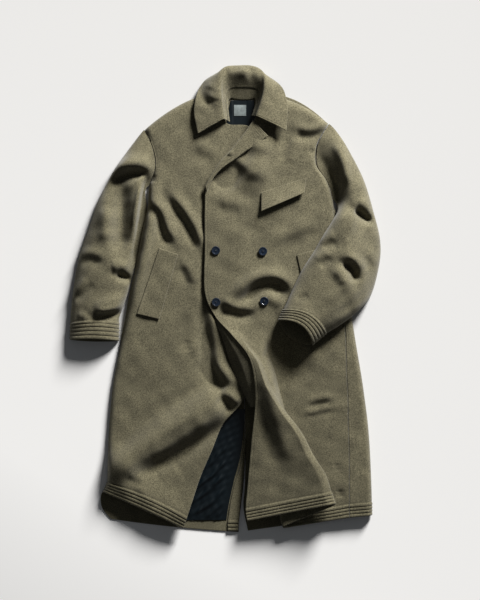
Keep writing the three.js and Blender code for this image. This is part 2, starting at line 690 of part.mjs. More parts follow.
function facing() {
  const grid = [0, ...steps(0, FACING.last, 10)].map((p) => {
    const f = FACING.at(p);
    const s = LEFT.at(f.place);
    const z = leftFrontZ(s.frontX, s.frontY) + s.frontRise - LAYER_STEP - FACING_AIR;
    const edge = point(s.frontX + 1, s.frontY, z);
    return [
      point(f.x, f.y, z - f.drop),
      point(mix(f.x, edge.x, 0.5), mix(f.y, edge.y, 0.5), z - 0.3 * f.drop),
      edge,
      point(s.frontX + FACING_TUCK, s.frontY - FACING_TUCK_Y, z - FACING_TUCK_DROP),
    ];
  });
  wall("facing_left", grid, MELTON, "wool");
}

// Linings where they show, lying on the back.
const LINING_AIR = 0.1;
const LINING_Z = MELTON + SEAM_GAP + SATIN / 2 + LINING_AIR;
const LINING_RIPPLE = 2.4;
const LINING_RIPPLE_SIZE = 11;
const LINING_RIPPLE_X = 0.55;
const LINING_RIPPLE_Y = 0.8;
const LINING_BACK = sections(
  ["leftX", "leftY", "rightX", "rightY"],
  [
    [-40, -290, 54, -290],
    [-80, -350, 50, -350],
    [-112, -415, 42, -415],
    [-135, -480, 25, -480],
    [-150, -540, 11, -544],
    [-150, -584, 5, -584],
  ],
);

function liningBack() {
  const grid = [0, ...steps(0, LINING_BACK.last, 14)].map((p) => {
    const s = LINING_BACK.at(p);
    return [0, ...steps(0, 1, 10)].map((u) => {
      const x = mix(s.leftX, s.rightX, u);
      const y = mix(s.leftY, s.rightY, u);
      const across = (x * LINING_RIPPLE_X - y * LINING_RIPPLE_Y) / LINING_RIPPLE_SIZE;
      const ripple = 0.5 + 0.5 * Math.sin(across);
      const fade = smooth((1 - u) * 4) * smooth(u * 3);
      return point(x, y, LINING_Z + LINING_RIPPLE * ripple * fade);
    });
  });
  wall("lining_back", grid, SATIN, "satin");
}

const NECK_LINING = sections(
  ["leftX", "rightX", "y"],
  [[16, 78, 527], [12, 80, 505], [8, 84, 480], [2, 92, 450]],
);

function liningNeck() {
  const grid = [0, ...steps(0, NECK_LINING.last, 5)].map((p) => {
    const s = NECK_LINING.at(p);
    return [0, ...steps(0, 1, 5)].map((u) => point(mix(s.leftX, s.rightX, u), s.y, LINING_Z));
  });
  wall("lining_neck", grid, SATIN, "satin");
}

const LABEL_LEFT = 25;
const LABEL_RIGHT = 57;
const LABEL_TOP = 515;
const LABEL_BOTTOM = 486;

function label() {
  const z = LINING_Z + SATIN / 2 + SEAM_GAP + LABEL_THICKNESS / 2;
  const grid = [LABEL_TOP, LABEL_BOTTOM].map((y) => [LABEL_LEFT, LABEL_RIGHT].map((x) => point(x, y, z)));
  wall("label", grid, LABEL_THICKNESS, "label");
}

// The vent facing: a turned strip along the back's centre, clear of the lining beside it.
const VENT_CLEARANCE = 1.5;
const VENT = sections(
  ["leftX", "rightX", "y"],
  [[50, 57, -370], [42, 53.5, -432], [25, 49, -489], [13, 43, -544], [7, 38, -590], [7, 36, -612]],
);

function ventFacing() {
  const grid = [0, ...steps(0, VENT.last, 12)].map((p) => {
    const s = VENT.at(p);
    const left = s.leftX + VENT_CLEARANCE;
    return [0, 0.5, 1].map((u) => point(mix(left, s.rightX, u), s.y, BACK_Z + LAYER_STEP));
  });
  wall("vent_facing", grid, MELTON, "wool");
}

// Welts lie on their panel: corners from the upper left, round by the right.
const WELT_LIFT = 0.6;
function welt(name, corners, panelZ, acrossCount, downCount) {
  const [topLeft, topRight, bottomRight, bottomLeft] = corners;
  const grid = [];
  for (let r = 0; r <= downCount; r += 1) {
    const v = r / downCount;
    const row = [];
    for (let c = 0; c <= acrossCount; c += 1) {
      const u = c / acrossCount;
      const x = mix(mix(topLeft[0], topRight[0], u), mix(bottomLeft[0], bottomRight[0], u), v);
      const y = mix(mix(topLeft[1], topRight[1], u), mix(bottomLeft[1], bottomRight[1], u), v);
      row.push(point(x, y, panelZ(x, y) + LAYER_STEP + WELT_LIFT));
    }
    grid.push(row);
  }
  wall(name, grid, MELTON, "wool");
}

function welts() {
  welt("welt_right", [[-172, 136], [-123, 119], [-172, -52], [-231, -38]], rightFrontZ, 3, 8);
  welt("welt_left", [[191, 118], [238, 131], [286, -38], [228, -52]], leftFrontZ, 3, 8);
  welt("welt_chest", [[97, 282], [216, 322], [211, 281], [97, 232]], leftFrontZ, 8, 3);
}

// Buttons: a turned disc with a raised rim round a shallow dish, and four through holes.
const BUTTON_PLACES = [[-23, 129], [101, 127], [-22, -7], [105, -4]];

function toManifold(wasm, geometry) {
  const bare = geometry.clone();
  bare.deleteAttribute("normal");
  bare.deleteAttribute("uv");
  const merged = BufferGeometryUtils.mergeVertices(bare, 1e-4);
  return new wasm.Manifold(new wasm.Mesh({
    numProp: 3,
    vertProperties: Float32Array.from(merged.attributes.position.array),
    triVerts: Uint32Array.from(merged.index.array),
  }));
}

function fromManifold(solid) {
  const mesh = solid.getMesh();
  const geometry = new THREE.BufferGeometry();
  geometry.setAttribute("position", new THREE.Float32BufferAttribute(mesh.vertProperties, 3));
  geometry.setIndex(Array.from(mesh.triVerts));
  geometry.computeVertexNormals();
  return geometry;
}

async function buttons() {
  const wasm = await Module();
  wasm.setup();
  const radius = BUTTON_DIAMETER / 2;
  const half = BUTTON_THICKNESS / 2;
  const profile = [
    [0, -half],
    [radius - BUTTON_BACK_EDGE, -half],
    [radius, -half + BUTTON_BACK_EDGE],
    [radius, half - BUTTON_FRONT_EDGE],
    [radius - BUTTON_FRONT_EDGE, half],
    [radius - BUTTON_RIM, half],
    [radius - BUTTON_RIM - 1, half - BUTTON_DISH],
    [0, half - BUTTON_DISH],
  ].map(([x, y]) => new THREE.Vector2(x, y));
  const disc = new THREE.LatheGeometry(profile, BUTTON_SIDES);
  disc.rotateX(Math.PI / 2);
  let solid = toManifold(wasm, disc);
  for (const sx of [-1, 1]) {
    for (const sy of [-1, 1]) {
      const drill = new THREE.CylinderGeometry(BUTTON_HOLE / 2, BUTTON_HOLE / 2, 3 * BUTTON_THICKNESS, 6);
      drill.rotateX(Math.PI / 2);
      drill.translate((sx * BUTTON_HOLE_SPACING) / 2, (sy * BUTTON_HOLE_SPACING) / 2, 0);
      solid = solid.subtract(toManifold(wasm, drill));
    }
  }
  BUTTON_PLACES.forEach(([x, y], k) => {
    const geometry = fromManifold(solid);
    const slopeX = (leftFrontZ(x + radius, y) - leftFrontZ(x - radius, y)) / BUTTON_DIAMETER;
    const slopeY = (leftFrontZ(x, y + radius) - leftFrontZ(x, y - radius)) / BUTTON_DIAMETER;
    const up = point(-slopeX, -slopeY, 1).normalize();
    const around = [[0, 0], [radius, 0], [-radius, 0], [0, radius], [0, -radius]];
    const over = around.map(([dx, dy]) => leftFrontZ(x + dx, y + dy) - slopeX * dx - slopeY * dy);
    const lift = MELTON / 2 + SEAM_GAP + half + BUTTON_SHANK;
    geometry.applyQuaternion(new THREE.Quaternion().setFromUnitVectors(point(0, 0, 1), up));
    geometry.translate(x + up.x * lift, y + up.y * lift, Math.max(...over) + up.z * lift);
    addMesh(`button_${k + 1}`, geometry, "horn");
  });
}

backRight();
backLeft();
backLeftWrap();
liningBack();
ventFacing();
liningNeck();
label();
frontRight();
frontLeft();
facing();
lapel();
sleeves();
collar();
welts();
await buttons();

// The origin is the middle of the whole box, on the floor.
const box = new THREE.Box3().setFromObject(coat);
coat.position.set(-(box.min.x + box.max.x) / 2, -(box.min.y + box.max.y) / 2, -box.min.z);

export default coat;
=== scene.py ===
"""A long double-breasted coat of heavy wool, laid flat and half open, dressed for the picture.

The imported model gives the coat's plan and layers. Each piece of cloth is made again here on the
same plan, as a thin wall with its creases, quilted channels, seams and stitching. Sizes are in
millimetres, in the cutter's own frame: +X to the viewer's right, +Y towards the collar, +Z up
from the floor. Right and left are the wearer's.
"""

import logging
import math
from dataclasses import dataclass, field
from enum import Enum
from typing import Callable, Iterable, Sequence

import bpy
import numpy as np
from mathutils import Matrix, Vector


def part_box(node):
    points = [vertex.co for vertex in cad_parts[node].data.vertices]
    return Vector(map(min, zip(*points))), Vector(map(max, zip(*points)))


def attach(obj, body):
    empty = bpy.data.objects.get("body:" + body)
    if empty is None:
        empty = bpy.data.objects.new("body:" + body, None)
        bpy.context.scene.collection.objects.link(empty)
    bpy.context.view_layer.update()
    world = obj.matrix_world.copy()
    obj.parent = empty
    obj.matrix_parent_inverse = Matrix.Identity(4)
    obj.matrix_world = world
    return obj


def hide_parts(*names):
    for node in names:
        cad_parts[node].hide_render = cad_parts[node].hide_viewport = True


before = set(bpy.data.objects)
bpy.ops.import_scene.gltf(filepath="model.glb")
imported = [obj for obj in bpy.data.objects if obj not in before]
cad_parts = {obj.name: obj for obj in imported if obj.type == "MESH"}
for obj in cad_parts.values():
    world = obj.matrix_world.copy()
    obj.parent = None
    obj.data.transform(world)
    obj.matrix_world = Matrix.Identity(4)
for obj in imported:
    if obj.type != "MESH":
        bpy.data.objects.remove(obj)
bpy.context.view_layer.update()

log = logging.getLogger("coat")

MM = 0.001
ROOT_BODY = "root"

# Cloth thicknesses and the gap between neighbouring pieces
MELTON = 2.6
SATIN = 1.0
LABEL_THICKNESS = 0.8
SEAM_GAP = 0.3
LAYER_STEP = MELTON + SEAM_GAP

# Heights over the floor of the middle of each wall
BACK_Z = MELTON / 2
SIDE_SEAM_Z = 1.5 * MELTON + SEAM_GAP
RIGHT_FRONT_Z = 15.0
RIGHT_FRONT_TUCKED_Z = 9.0
LEFT_FRONT_Z = 22.0
LEFT_FRONT_SIDE_Z = 18.0

# How far a panel takes to round down to its side seam and its shoulder seam, the length of its
# table's first step, and the fine rows at the shoulder
SIDE_ROUND = 14.0
SHOULDER_ROUND = 12.0
SHOULDER_PLACE = 34.0
SHOULDER_SHARE = 0.4
SHOULDER_ROWS = 8

# Quilted channels along the hem and round the cuffs
HEM_RIBS = 4
CUFF_RIBS = 5
RIB_HEIGHT = 1.5
RIB_GROOVE = 0.7
RIB_GROOVE_WIDTH = 0.3
RIB_ROW = 0.9
BAND_AHEAD = 0.02

# Topstitching: distance from the edge, depth and width of its groove, and the cloth that puffs
# up beside it
STITCH_IN = 6.5
STITCH_DEPTH = 0.7
STITCH_WIDTH = 1.0
PUFF_SHARE = 0.45
PUFF_WIDTH = 2.6

# Distances of the stitch lines from their seams, and where those of the armhole end
ARMHOLE_STITCHES = (3.0, 9.5)
SIDE_STITCHES = (2.6, 9.0)
STITCH_END = 0.4
STITCH_END_EASE = 0.3

# Grid steps, and the distances of the fine columns from a stitched edge and from a seam
STEP = 3.3
COARSE_STEP = 9.0
NEAR_EDGE = [0.0, 1.5, 3.2, 4.6, 5.6, 6.5, 7.4, 8.6, 11.0, 14.0]
NEAR_SEAM = [0.0, 0.6, 1.6, 3.2, 5.4, 8.2, 11.2, 14.4]

# How many reaches away a fold is still felt, over which share of its length it tapers towards
# an end, and the share of its height that it keeps there
FOLD_MARGIN = 3.2
TAPER_RUN = 0.28
TAPER_END = 0.2

# The waviness of laid cloth: the spread of its wave lengths, and how its waves bend
WAVE_LENGTHS = (0.6, 1.8)
WAVE_BEND = 0.6
WAVE_BEND_LENGTH = 1.7

# The label's corner coordinates tie the cutter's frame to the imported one.
LABEL_X = (25.0, 57.0)
LABEL_Y = (486.0, 515.0)

Array = np.ndarray
Path = Sequence[tuple[float, float]]
Line = Callable[[Array], tuple[Array, Array]]
Height = Callable[[Array, Array], Array]
Colour = tuple[float, float, float]
Material = bpy.types.Material
Object = bpy.types.Object
Socket = bpy.types.NodeSocket


def mix(a: Array | float, b: Array | float, share: Array | float) -> Array | float:
    """Returns the value that lies the given share of the way from a to b."""
    return a + (b - a) * share


def smooth(share: Array | float) -> Array | float:
    """Returns the share with an even start and end, held between 0 and 1."""
    s = np.clip(share, 0.0, 1.0)
    return s * s * (3 - 2 * s)


def quarter_round(share: Array | float) -> Array | float:
    """Returns the height of a quarter circle over its own run, from 0 to 1."""
    return np.sqrt(np.maximum(1 - (1 - np.clip(share, 0.0, 1.0)) ** 2, 0.0))


class Sections:
    """A table with named columns, read on a smooth curve through its rows."""

    def __init__(self, names: Sequence[str], rows: Sequence[Sequence[float]]) -> None:
        """Keeps the table.

        Args:
            names: one name for each column.
            rows: the sections, in order.
        """
        self.names = list(names)
        self.rows = np.array(rows, float)
        self.last = len(rows) - 1

    def at(self, place: Array | float) -> dict[str, Array]:
        """Reads the table between its rows.

        Args:
            place: row numbers, whole or between rows.

        Returns:
            Each column's value at those places, by name.
        """
        place = np.asarray(place, float)
        k = np.clip(np.floor(place).astype(int), 0, self.last - 1)
        f = (place - k)[..., None]
        b = self.rows[k]
        c = self.rows[k + 1]
        a = np.where((k > 0)[..., None], self.rows[np.maximum(k - 1, 0)], 2 * b - c)
        beyond = self.rows[np.minimum(k + 2, self.last)]
        d = np.where((k + 2 <= self.last)[..., None], beyond, 2 * c - b)
        slope = (c - a) / 2
        bend = a - 2.5 * b + 2 * c - 0.5 * d
        twist = (d - a) / 2 + 1.5 * (b - c)
        values = b + f * (slope + f * (bend + f * twist))
        return {name: values[..., n] for n, name in enumerate(self.names)}

    def columns(self, place: Array) -> dict[str, Array]:
        """Returns what at() gives, with a row of its own for each place."""
        return {name: value[:, None] for name, value in self.at(place).items()}

    def between(self, first: str, second: str) -> Line:
        """Finds the line half-way between two of the table's lines.

        Args:
            first: the one line's name, without its axis.
            second: the other line's name, or the same one again.

        Returns:
            A function that gives the x and y of the line at places in the table.
        """

        def line(place: Array) -> tuple[Array, Array]:
            """Returns the line's x and y at the places."""
            s = self.at(place)
            x, y = ((s[f"{first}_{axis}"] + s[f"{second}_{axis}"]) / 2 for axis in "xy")
            return x, y

        return line


class Shape(Enum):
    """The two kinds of fold."""

    RIDGE = "ridge"
    STEP = "step"


def smooth_line(path: Path, per_span: int = 7) -> Array:
    """Runs a smooth line through a path's points.

    Args:
        path: the points.
        per_span: number of steps from point to point.

    Returns:
        The points of the smooth line.
    """
    if len(path) < 3:
        return np.array(path, float)
    table = Sections(["x", "y"], path).at(np.linspace(0, len(path) - 1, per_span * (len(path) - 1) + 1))
    return np.stack([table["x"], table["y"]], axis=-1)


@dataclass(frozen=True)
class Fold:
    """A soft fold along a path on a panel.

    A ridge is highest on its path, and with a rise below 0 it is a trough. A step is high on the
    left of its path's direction and low on the right, with the steepest slope on the path.

    Attributes:
        rise: how far it rises, and for a step also how far it sinks on the other side.
        reach: distance from the path at which a step is highest, or a ridge has faded to a third.
        path: its middle line.
        shape: ridge or step.
        tapered: whether it is smoothly curved and fades out towards both ends.
    """

    rise: float
    reach: float
    path: Path
    shape: Shape = Shape.RIDGE
    tapered: bool = True

    def height(self, x: Array, y: Array) -> Array:
        """Works out the fold's height.

        Args:
            x: points across.
            y: points along, in the same shape.

        Returns:
            The height that the fold adds at each point.
        """
        x, y = np.broadcast_arrays(np.asarray(x, float), np.asarray(y, float))
        line = smooth_line(self.path) if self.tapered else np.array(self.path, float)
        margin = FOLD_MARGIN * self.reach
        near = (x > line[:, 0].min() - margin) & (x < line[:, 0].max() + margin)
        near &= (y > line[:, 1].min() - margin) & (y < line[:, 1].max() + margin)
        result = np.zeros(x.shape)
        if near.any():
            result[near] = self._height_at(x[near], y[near], line)
        return result

    def _height_at(self, x: Array, y: Array, line: Array) -> Array:
        """Returns the height at points near the fold's line."""
        lengths = np.hypot(*(line[1:] - line[:-1]).T)
        total = lengths.sum()
        nearest = np.full(x.shape, np.inf)
        aside = np.zeros(x.shape)
        beyond = np.zeros(x.shape)
        travelled = np.zeros(x.shape)
        start = 0.0
        last = len(lengths) - 1
        for k, ((ax, ay), (bx, by), length) in enumerate(zip(line[:-1], line[1:], lengths)):
            raw = ((x - ax) * (bx - ax) + (y - ay) * (by - ay)) / length**2
            t = np.clip(raw, 0.0, 1.0)
            distance = np.hypot(x - mix(ax, bx, t), y - mix(ay, by, t))
            straight = ((bx - ax) * (y - ay) - (by - ay) * (x - ax)) / length
            over = np.zeros(x.shape)
            if k == 0:
                over = np.maximum(over, -raw * length)
            if k == last:
                over = np.maximum(over, (raw - 1) * length)
            signed = np.where(over > 0, straight, np.where(straight > 0, distance, -distance))
            closer = distance < nearest
            nearest = np.where(closer, distance, nearest)
            aside = np.where(closer, signed, aside)
            beyond = np.where(closer, over, beyond)
            travelled = np.where(closer, (start + t * length) / total, travelled)
            start += length
        share = aside / self.reach
        if self.shape is Shape.STEP:
            height = self.rise * share * np.exp((1 - share**2) / 2)
        else:
            height = self.rise * np.exp(-(share**2))
        height = height * np.exp(-((beyond / self.reach) ** 2))
        if self.tapered:
            taper = smooth(np.minimum(travelled, 1 - travelled) / TAPER_RUN)
            height = height * mix(TAPER_END, 1.0, taper)
        return height


def plain_fold(rise: float, reach: float, path: Path) -> Fold:
    """Returns a fold that keeps its full height to both ends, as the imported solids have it."""
    return Fold(rise, reach, path, tapered=False)


def step(rise: float, reach: float, path: Path) -> Fold:
    """Returns a step, high on the left of its path's direction."""
    return Fold(rise, reach, path, shape=Shape.STEP)


def folds_height(folds: Iterable[Fold], x: Array, y: Array) -> Array:
    """Adds up folds.

    Args:
        folds: the folds of a panel.
        x: points across.
        y: points along.

    Returns:
        Their summed height at each point.
    """
    total = np.zeros(np.broadcast(x, y).shape)
    for fold in folds:
        total = total + fold.height(x, y)
    return total


@dataclass(frozen=True)
class Unevenness:
    """The slow, irregular waviness that heavy cloth keeps when it is laid out.

    Attributes:
        height: about how far it rises and sinks.
        size: the usual distance from crest to crest.
        seed: start of its random draws.
        waves: how many waves are laid over each other.
    """

    height: float
    size: float
    seed: int
    waves: int = 9

    def at(self, x: Array, y: Array) -> Array:
        """Works out the waviness.

        Args:
            x: points across.
            y: points along.

        Returns:
            The height at each point.
        """
        draw = np.random.RandomState(self.seed)
        total = np.zeros(np.broadcast(x, y).shape)
        for _ in range(self.waves):
            angle = draw.uniform(0, math.pi)
            length = self.size * draw.uniform(*WAVE_LENGTHS)
            phase = draw.uniform(0, 2 * math.pi)
            across = (x * math.sin(angle) - y * math.cos(angle)) / (WAVE_BEND_LENGTH * length)
            bend = WAVE_BEND * np.sin(across + phase)
            along = (x * math.cos(angle) + y * math.sin(angle)) * 2 * math.pi / length
            total = total + np.sin(along + phase + bend)
        return self.height * total / math.sqrt(self.waves)


# Main folds of the right front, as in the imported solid
RIGHT_FRONT_FOLDS = [
    plain_fold(24, 42, [(-32, -268), (-83, -297), (-155, -337), (-219, -383), (-262, -425)]),
    plain_fold(-7, 26, [(-60, -235), (-130, -275), (-205, -325), (-262, -375)]),
    plain_fold(17, 55, [(-270, -470), (-215, -520), (-150, -560)]),
    plain_fold(8, 40, [(-20, -380), (-62, -470), (-90, -560)]),
]

# Creases of the right front: the bulge along its side, the two that run from the armpit to the
# buttons, the steps and the hollow beside the over panel, the dark slope below the lit ridge and
# small ones at the side
RIGHT_FRONT_CREASES = [
    Fold(13.0, 17, [(-180, 330), (-184, 262), (-197, 190), (-214, 100), (-234, 10), (-250, -80)]),
    step(8.0, 12, [(-206, 254), (-186, 246), (-171, 226), (-161, 196), (-149, 168), (-130, 142)]),
    step(7.5, 12, [(-154, 280), (-130, 254), (-105, 220), (-85, 186), (-69, 150), (-60, 116)]),
    step(2.5, 16, [(-84, 398), (-52, 386), (-20, 370)]),
    Fold(-5.0, 11, [(-192, 330), (-190, 306)]),
    step(4.0, 12, [(-114, 98), (-97, 66), (-84, 34)]),
    step(10.0, 17, [(-52, 20), (-46, -50), (-38, -110), (-26, -170), (-8, -222), (14, -252)]),
    Fold(-6.0, 24, [(-50, -60), (-44, -130), (-30, -190), (2, -236), (24, -262)]),
    step(8.0, 18, [(-74, -146), (-40, -180), (-4, -212), (34, -248)]),
    step(12.0, 15, [(-18, -246), (8, -264), (34, -288)]),
    step(3.0, 24, [(-96, 30), (-84, -60), (-72, -140)]),
    step(13.0, 20, [(-236, -450), (-196, -430), (-146, -404), (-86, -366), (-28, -328), (14, -300)]),
    Fold(4.0, 15, [(-250, -412), (-190, -376), (-130, -336), (-70, -298), (-20, -268)]),
    Fold(4.0, 26, [(-120, -440), (-176, -470)]),
    Fold(-2.5, 12, [(-98, -105), (-98, -142)]),
    step(1.8, 10, [(-258, -462), (-236, -474), (-212, -482)]),
    Fold(2.0, 9, [(-240, -492), (-222, -500), (-208, -512)]),
    Fold(2.0, 40, [(-260, -120), (-200, -180), (-150, -230)]),
    Fold(-2.0, 34, [(-240, -200), (-190, -250)]),
]

# Main folds of the left front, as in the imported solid
LEFT_FRONT_FOLDS = [
    plain_fold(-7, 34, [(4, 335), (26, 305), (48, 288)]),
    plain_fold(5, 45, [(95, 330), (120, 250)]),
    plain_fold(5, 30, [(120, 10), (152, -12)]),
]

# Creases of the left front: the deep hollow under the lapel, the hollow under the collar's wing,
# the shoulder, the slope over the pocket, the arch round the lower button, the valley beside
# the big fold and the slope along the front edge
LEFT_FRONT_CREASES = [
    Fold(8.0, 30, [(104, 424), (92, 384), (88, 344), (82, 306)]),
    Fold(-5.0, 24, [(-34, 306), (-8, 314), (20, 334), (46, 362)]),
    step(12.0, 18, [(-44, 368), (-16, 352), (8, 330), (28, 306)]),
    step(9.0, 17, [(-20, 392), (10, 374), (36, 352), (58, 326)]),
    step(5.0, 26, [(30, 424), (74, 400), (116, 372)]),
    step(6.0, 17, [(74, 400), (58, 352), (26, 302), (-10, 280)]),
    Fold(-8.0, 24, [(92, 446), (120, 450), (152, 438)]),
    step(3.0, 12, [(178, 432), (169, 394), (160, 360)]),
    step(5.5, 11, [(184, 448), (214, 440), (246, 444), (278, 460)]),
    Fold(-3.5, 8, [(226, 382), (236, 398)]),
    step(4.0, 17, [(130, 128), (166, 156), (210, 176), (254, 196)]),
    step(13.0, 16, [(24, -14), (48, 12), (74, 36), (102, 48), (132, 48), (158, 32), (170, 2)]),
    Fold(5.0, 15, [(112, 6), (140, -6), (152, -20)]),
    step(8.0, 13, [(-16, -8), (18, -26), (50, -32), (84, -24)]),
    Fold(-3.0, 6, [(121, -112), (113, -136), (102, -160)]),
    Fold(-11.0, 36, [(128, -96), (158, -140), (188, -184), (212, -226)]),
    Fold(-8.0, 34, [(214, -130), (256, -96), (296, -66)]),
    step(6.5, 20, [(90, -176), (100, -236), (114, -300), (134, -366), (160, -436)]),
    step(2.5, 9, [(214, -280), (248, -270), (290, -262)]),
    step(2.2, 8, [(208, -308), (248, -298), (296, -288)]),
    Fold(-3.0, 10, [(304, -500), (306, -526)]),
    Fold(-2.0, 10, [(296, -430), (300, -456)]),
    Fold(3.0, 26, [(60, 200), (40, 120), (30, 60)]),
    Fold(-2.5, 22, [(94, 210), (84, 150), (80, 90)]),
    step(3.0, 16, [(-20, 252), (10, 244), (50, 240)]),
]

RIGHT_FRONT_UNEVEN = Unevenness(0.55, 70, 11)
LEFT_FRONT_UNEVEN = Unevenness(0.5, 66, 23)

# The line along which the over panel covers the right front: the lapel's fold line above and
# the straight free edge below
LAPEL_FOLD_X = -46.0
LAPEL_FOLD_Y = 303.0
LAPEL_FOLD_ALONG_X = 124.0
LAPEL_FOLD_ALONG_Y = 170.0
LEFT_EDGE_X = -52.0
TUCK_AHEAD = 22.0
TUCK_EASE = 30.0
TUCK_BELOW_Y = -215.0
TUCK_BELOW_EASE = 60.0

# The line below the lapped part from which the facing covers the right front, and how far the
# creases flatten out under it and under the over panel
FACING_LINE_X = [74.0, 55.0, 34.0, 15.0, 2.0, -12.0, -27.0, -46.0]
FACING_LINE_Y = [-300.0, -256.0, -210.0, -166.0, -124.0, -84.0, -52.0, -20.0]
COVER_AHEAD = 4.0
COVER_EASE = 12.0
COVER_SHARE = 0.9

# The lowest levels to which creases sink: the right front on the back, the left front on the
# right front
RIGHT_FRONT_LOWEST = 4.6
LEFT_FRONT_LOWEST = 12.0
SETTLE_EASE = 1.2

# Where the left front sinks from the lapped part towards its side
LEFT_LAP_X = 80.0
LEFT_LAP_EASE = 70.0


def settled(z: Array, level: float) -> Array:
    """Returns heights that come softly to rest on the level of what lies below."""
    return level + SETTLE_EASE * np.logaddexp(0.0, (z - level) / SETTLE_EASE)


def under_left_front(x: Array, y: Array) -> Array:
    """Returns how far a point of the right front lies under the left front's edge."""
    length = math.hypot(LAPEL_FOLD_ALONG_X, LAPEL_FOLD_ALONG_Y)
    turned = (x - LAPEL_FOLD_X) * LAPEL_FOLD_ALONG_Y - (y - LAPEL_FOLD_Y) * LAPEL_FOLD_ALONG_X
    return np.minimum(x - LEFT_EDGE_X, turned / length)


def right_front_base(x: Array, y: Array) -> Array:
    """Returns the height of the right front's middle, with its main folds."""
    beside = smooth((under_left_front(x, y) + TUCK_AHEAD) / TUCK_EASE)
    tucked = beside * smooth((y - TUCK_BELOW_Y) / TUCK_BELOW_EASE)
    level = mix(RIGHT_FRONT_Z, RIGHT_FRONT_TUCKED_Z, tucked)
    return level + folds_height(RIGHT_FRONT_FOLDS, x, y)


def right_front_z(x: Array, y: Array) -> Array:
    """Returns the height of the right front's middle, with folds and creases."""
    fine = folds_height(RIGHT_FRONT_CREASES, x, y) + RIGHT_FRONT_UNEVEN.at(x, y)
    past_facing = x - np.interp(y, FACING_LINE_Y, FACING_LINE_X)
    past_edge = np.where(y > FACING_LINE_Y[-1], under_left_front(x, y), past_facing)
    covered = smooth((past_edge + COVER_AHEAD) / COVER_EASE)
    shown = fine * (1 - COVER_SHARE * covered)
    return settled(right_front_base(x, y) + shown, RIGHT_FRONT_LOWEST)


def left_front_base(x: Array, y: Array) -> Array:
    """Returns the height of the left front's middle, with its main folds."""
    beside = smooth((x - LEFT_LAP_X) / LEFT_LAP_EASE)
    return mix(LEFT_FRONT_Z, LEFT_FRONT_SIDE_Z, beside) + folds_height(LEFT_FRONT_FOLDS, x, y)


def left_front_z(x: Array, y: Array) -> Array:
    """Returns the height of the left front's middle, with folds and creases."""
    fine = folds_height(LEFT_FRONT_CREASES, x, y) + LEFT_FRONT_UNEVEN.at(x, y)
    return settled(left_front_base(x, y) + fine, LEFT_FRONT_LOWEST)


# Sections of the right side from the shoulder to the hem
RIGHT = Sections(
    ["side_x", "side_y", "front_x", "front_y", "bow", "lift"],
    [
        [-210, 449, -7, 550, 20, 0],
        [-195, 420, -1, 507, 8, 0.75],
        [-183, 380, 7, 465, 2, 0.9],
        [-182, 343, 68, 456, 0, 0.75],
        [-197, 301, 115, 396, 0, 0],
        [-203, 240, 131, 277, 0, 0],
        [-216, 182, 131, 158, 0, 0],
        [-232, 97, 131, 38, 0, 0],
        [-253, 4, 126, -68, 0, 0],
        [-269, -94, 99, -166, 0, 0],
        [-292, -213, 46, -271, 0, 0],
        [-301, -290, -3, -328, 0, 0],
        [-306, -360, -34, -400, 0, 0],
        [-308, -420, -62, -465, 0, 0],
        [-309, -460, -84, -530, 5, 0],
        [-310, -483, -98, -573, 9, 0],
        [-320, -509, -109, -604, 3, 0],
    ],
)

# Sections of the left side from the shoulder to the hem
LEFT = Sections(
    [
        "front_x", "front_y", "crest_x", "crest_y", "turn_x", "turn_y", "seam_x", "seam_y",
        "edge_x", "edge_y", "front_rise", "crest_rise", "turn_rise", "lift",
    ],
    [
        [110, 545, 168, 528, 220, 505, 274, 465, 274, 465, 0, 0, 0, 0],
        [78, 473, 136, 467, 195, 456, 253, 431, 253, 431, 0, 0, 0, 0.75],
        [60, 447, 121, 436, 179, 423, 241, 401, 241, 401, 0, 0, 0, 0.5],
        [36, 415, 99, 399, 168, 383, 242, 354, 242, 354, 0, 0, 0, 0.2],
        [-7, 362, 68, 351, 158, 338, 269, 314, 269, 314, 0, 0, 0, 0.1],
        [-46, 303, 41, 295, 152, 285, 285, 265, 285, 265, 0, 0, 0, 0],
        [-52, 237, 41, 232, 152, 221, 290, 205, 298, 205, 0, 0, 0, 0.6],
        [-52, 131, 41, 129, 147, 123, 301, 113, 312, 113, 0, 0, 0, 0.9],
        [-52, 20, 30, 17, 126, 15, 311, 15, 325, 15, 0, 0, 0, 1],
        [-25, -44, 41, -68, 99, -81, 318, -68, 338, -62, 1.6, 1.6, 0, 1],
        [19, -93, 67, -126, 98, -137, 321, -134, 349, -130, 18, 21, -3, 1],
        [65, -152, 100, -172, 116, -187, 323, -200, 361, -200, 31, 36, -6, 1],
        [80, -227, 126, -230, 130, -244, 326, -262, 370, -262, 36, 42, -7, 1],
        [80, -288, 162, -292, 148, -306, 327, -325, 378, -325, 28, 44, -7, 1],
        [73, -355, 203, -348, 162, -374, 329, -385, 383, -385, 17, 42, -7, 1],
        [67, -423, 232, -407, 162, -442, 330, -445, 386, -445, 11, 40, -7, 1],
        [61, -490, 262, -458, 163, -512, 330, -500, 388, -498, 8, 38, -7, 1],
        [56, -551, 276, -505, 152, -572, 330, -541, 389, -536, 7, 37, -6, 1],
        [60, -584, 287, -537, 160, -604, 330, -576, 389, -571, 7, 37, -5, 1],
    ],
)

RIGHT_ARMPIT = 4.0
LEFT_ARMPIT = 5.0


class Wool(Enum):
    """The wool's two kinds: its plain face, and a darker copy of the same wool in which shade is painted.
    """

    FACE = "face"
    SHADED = "shaded"


def toned(colour: Colour, strength: float) -> Colour:
    """Returns a colour made darker or lighter."""
    return tuple(strength * c for c in colour)


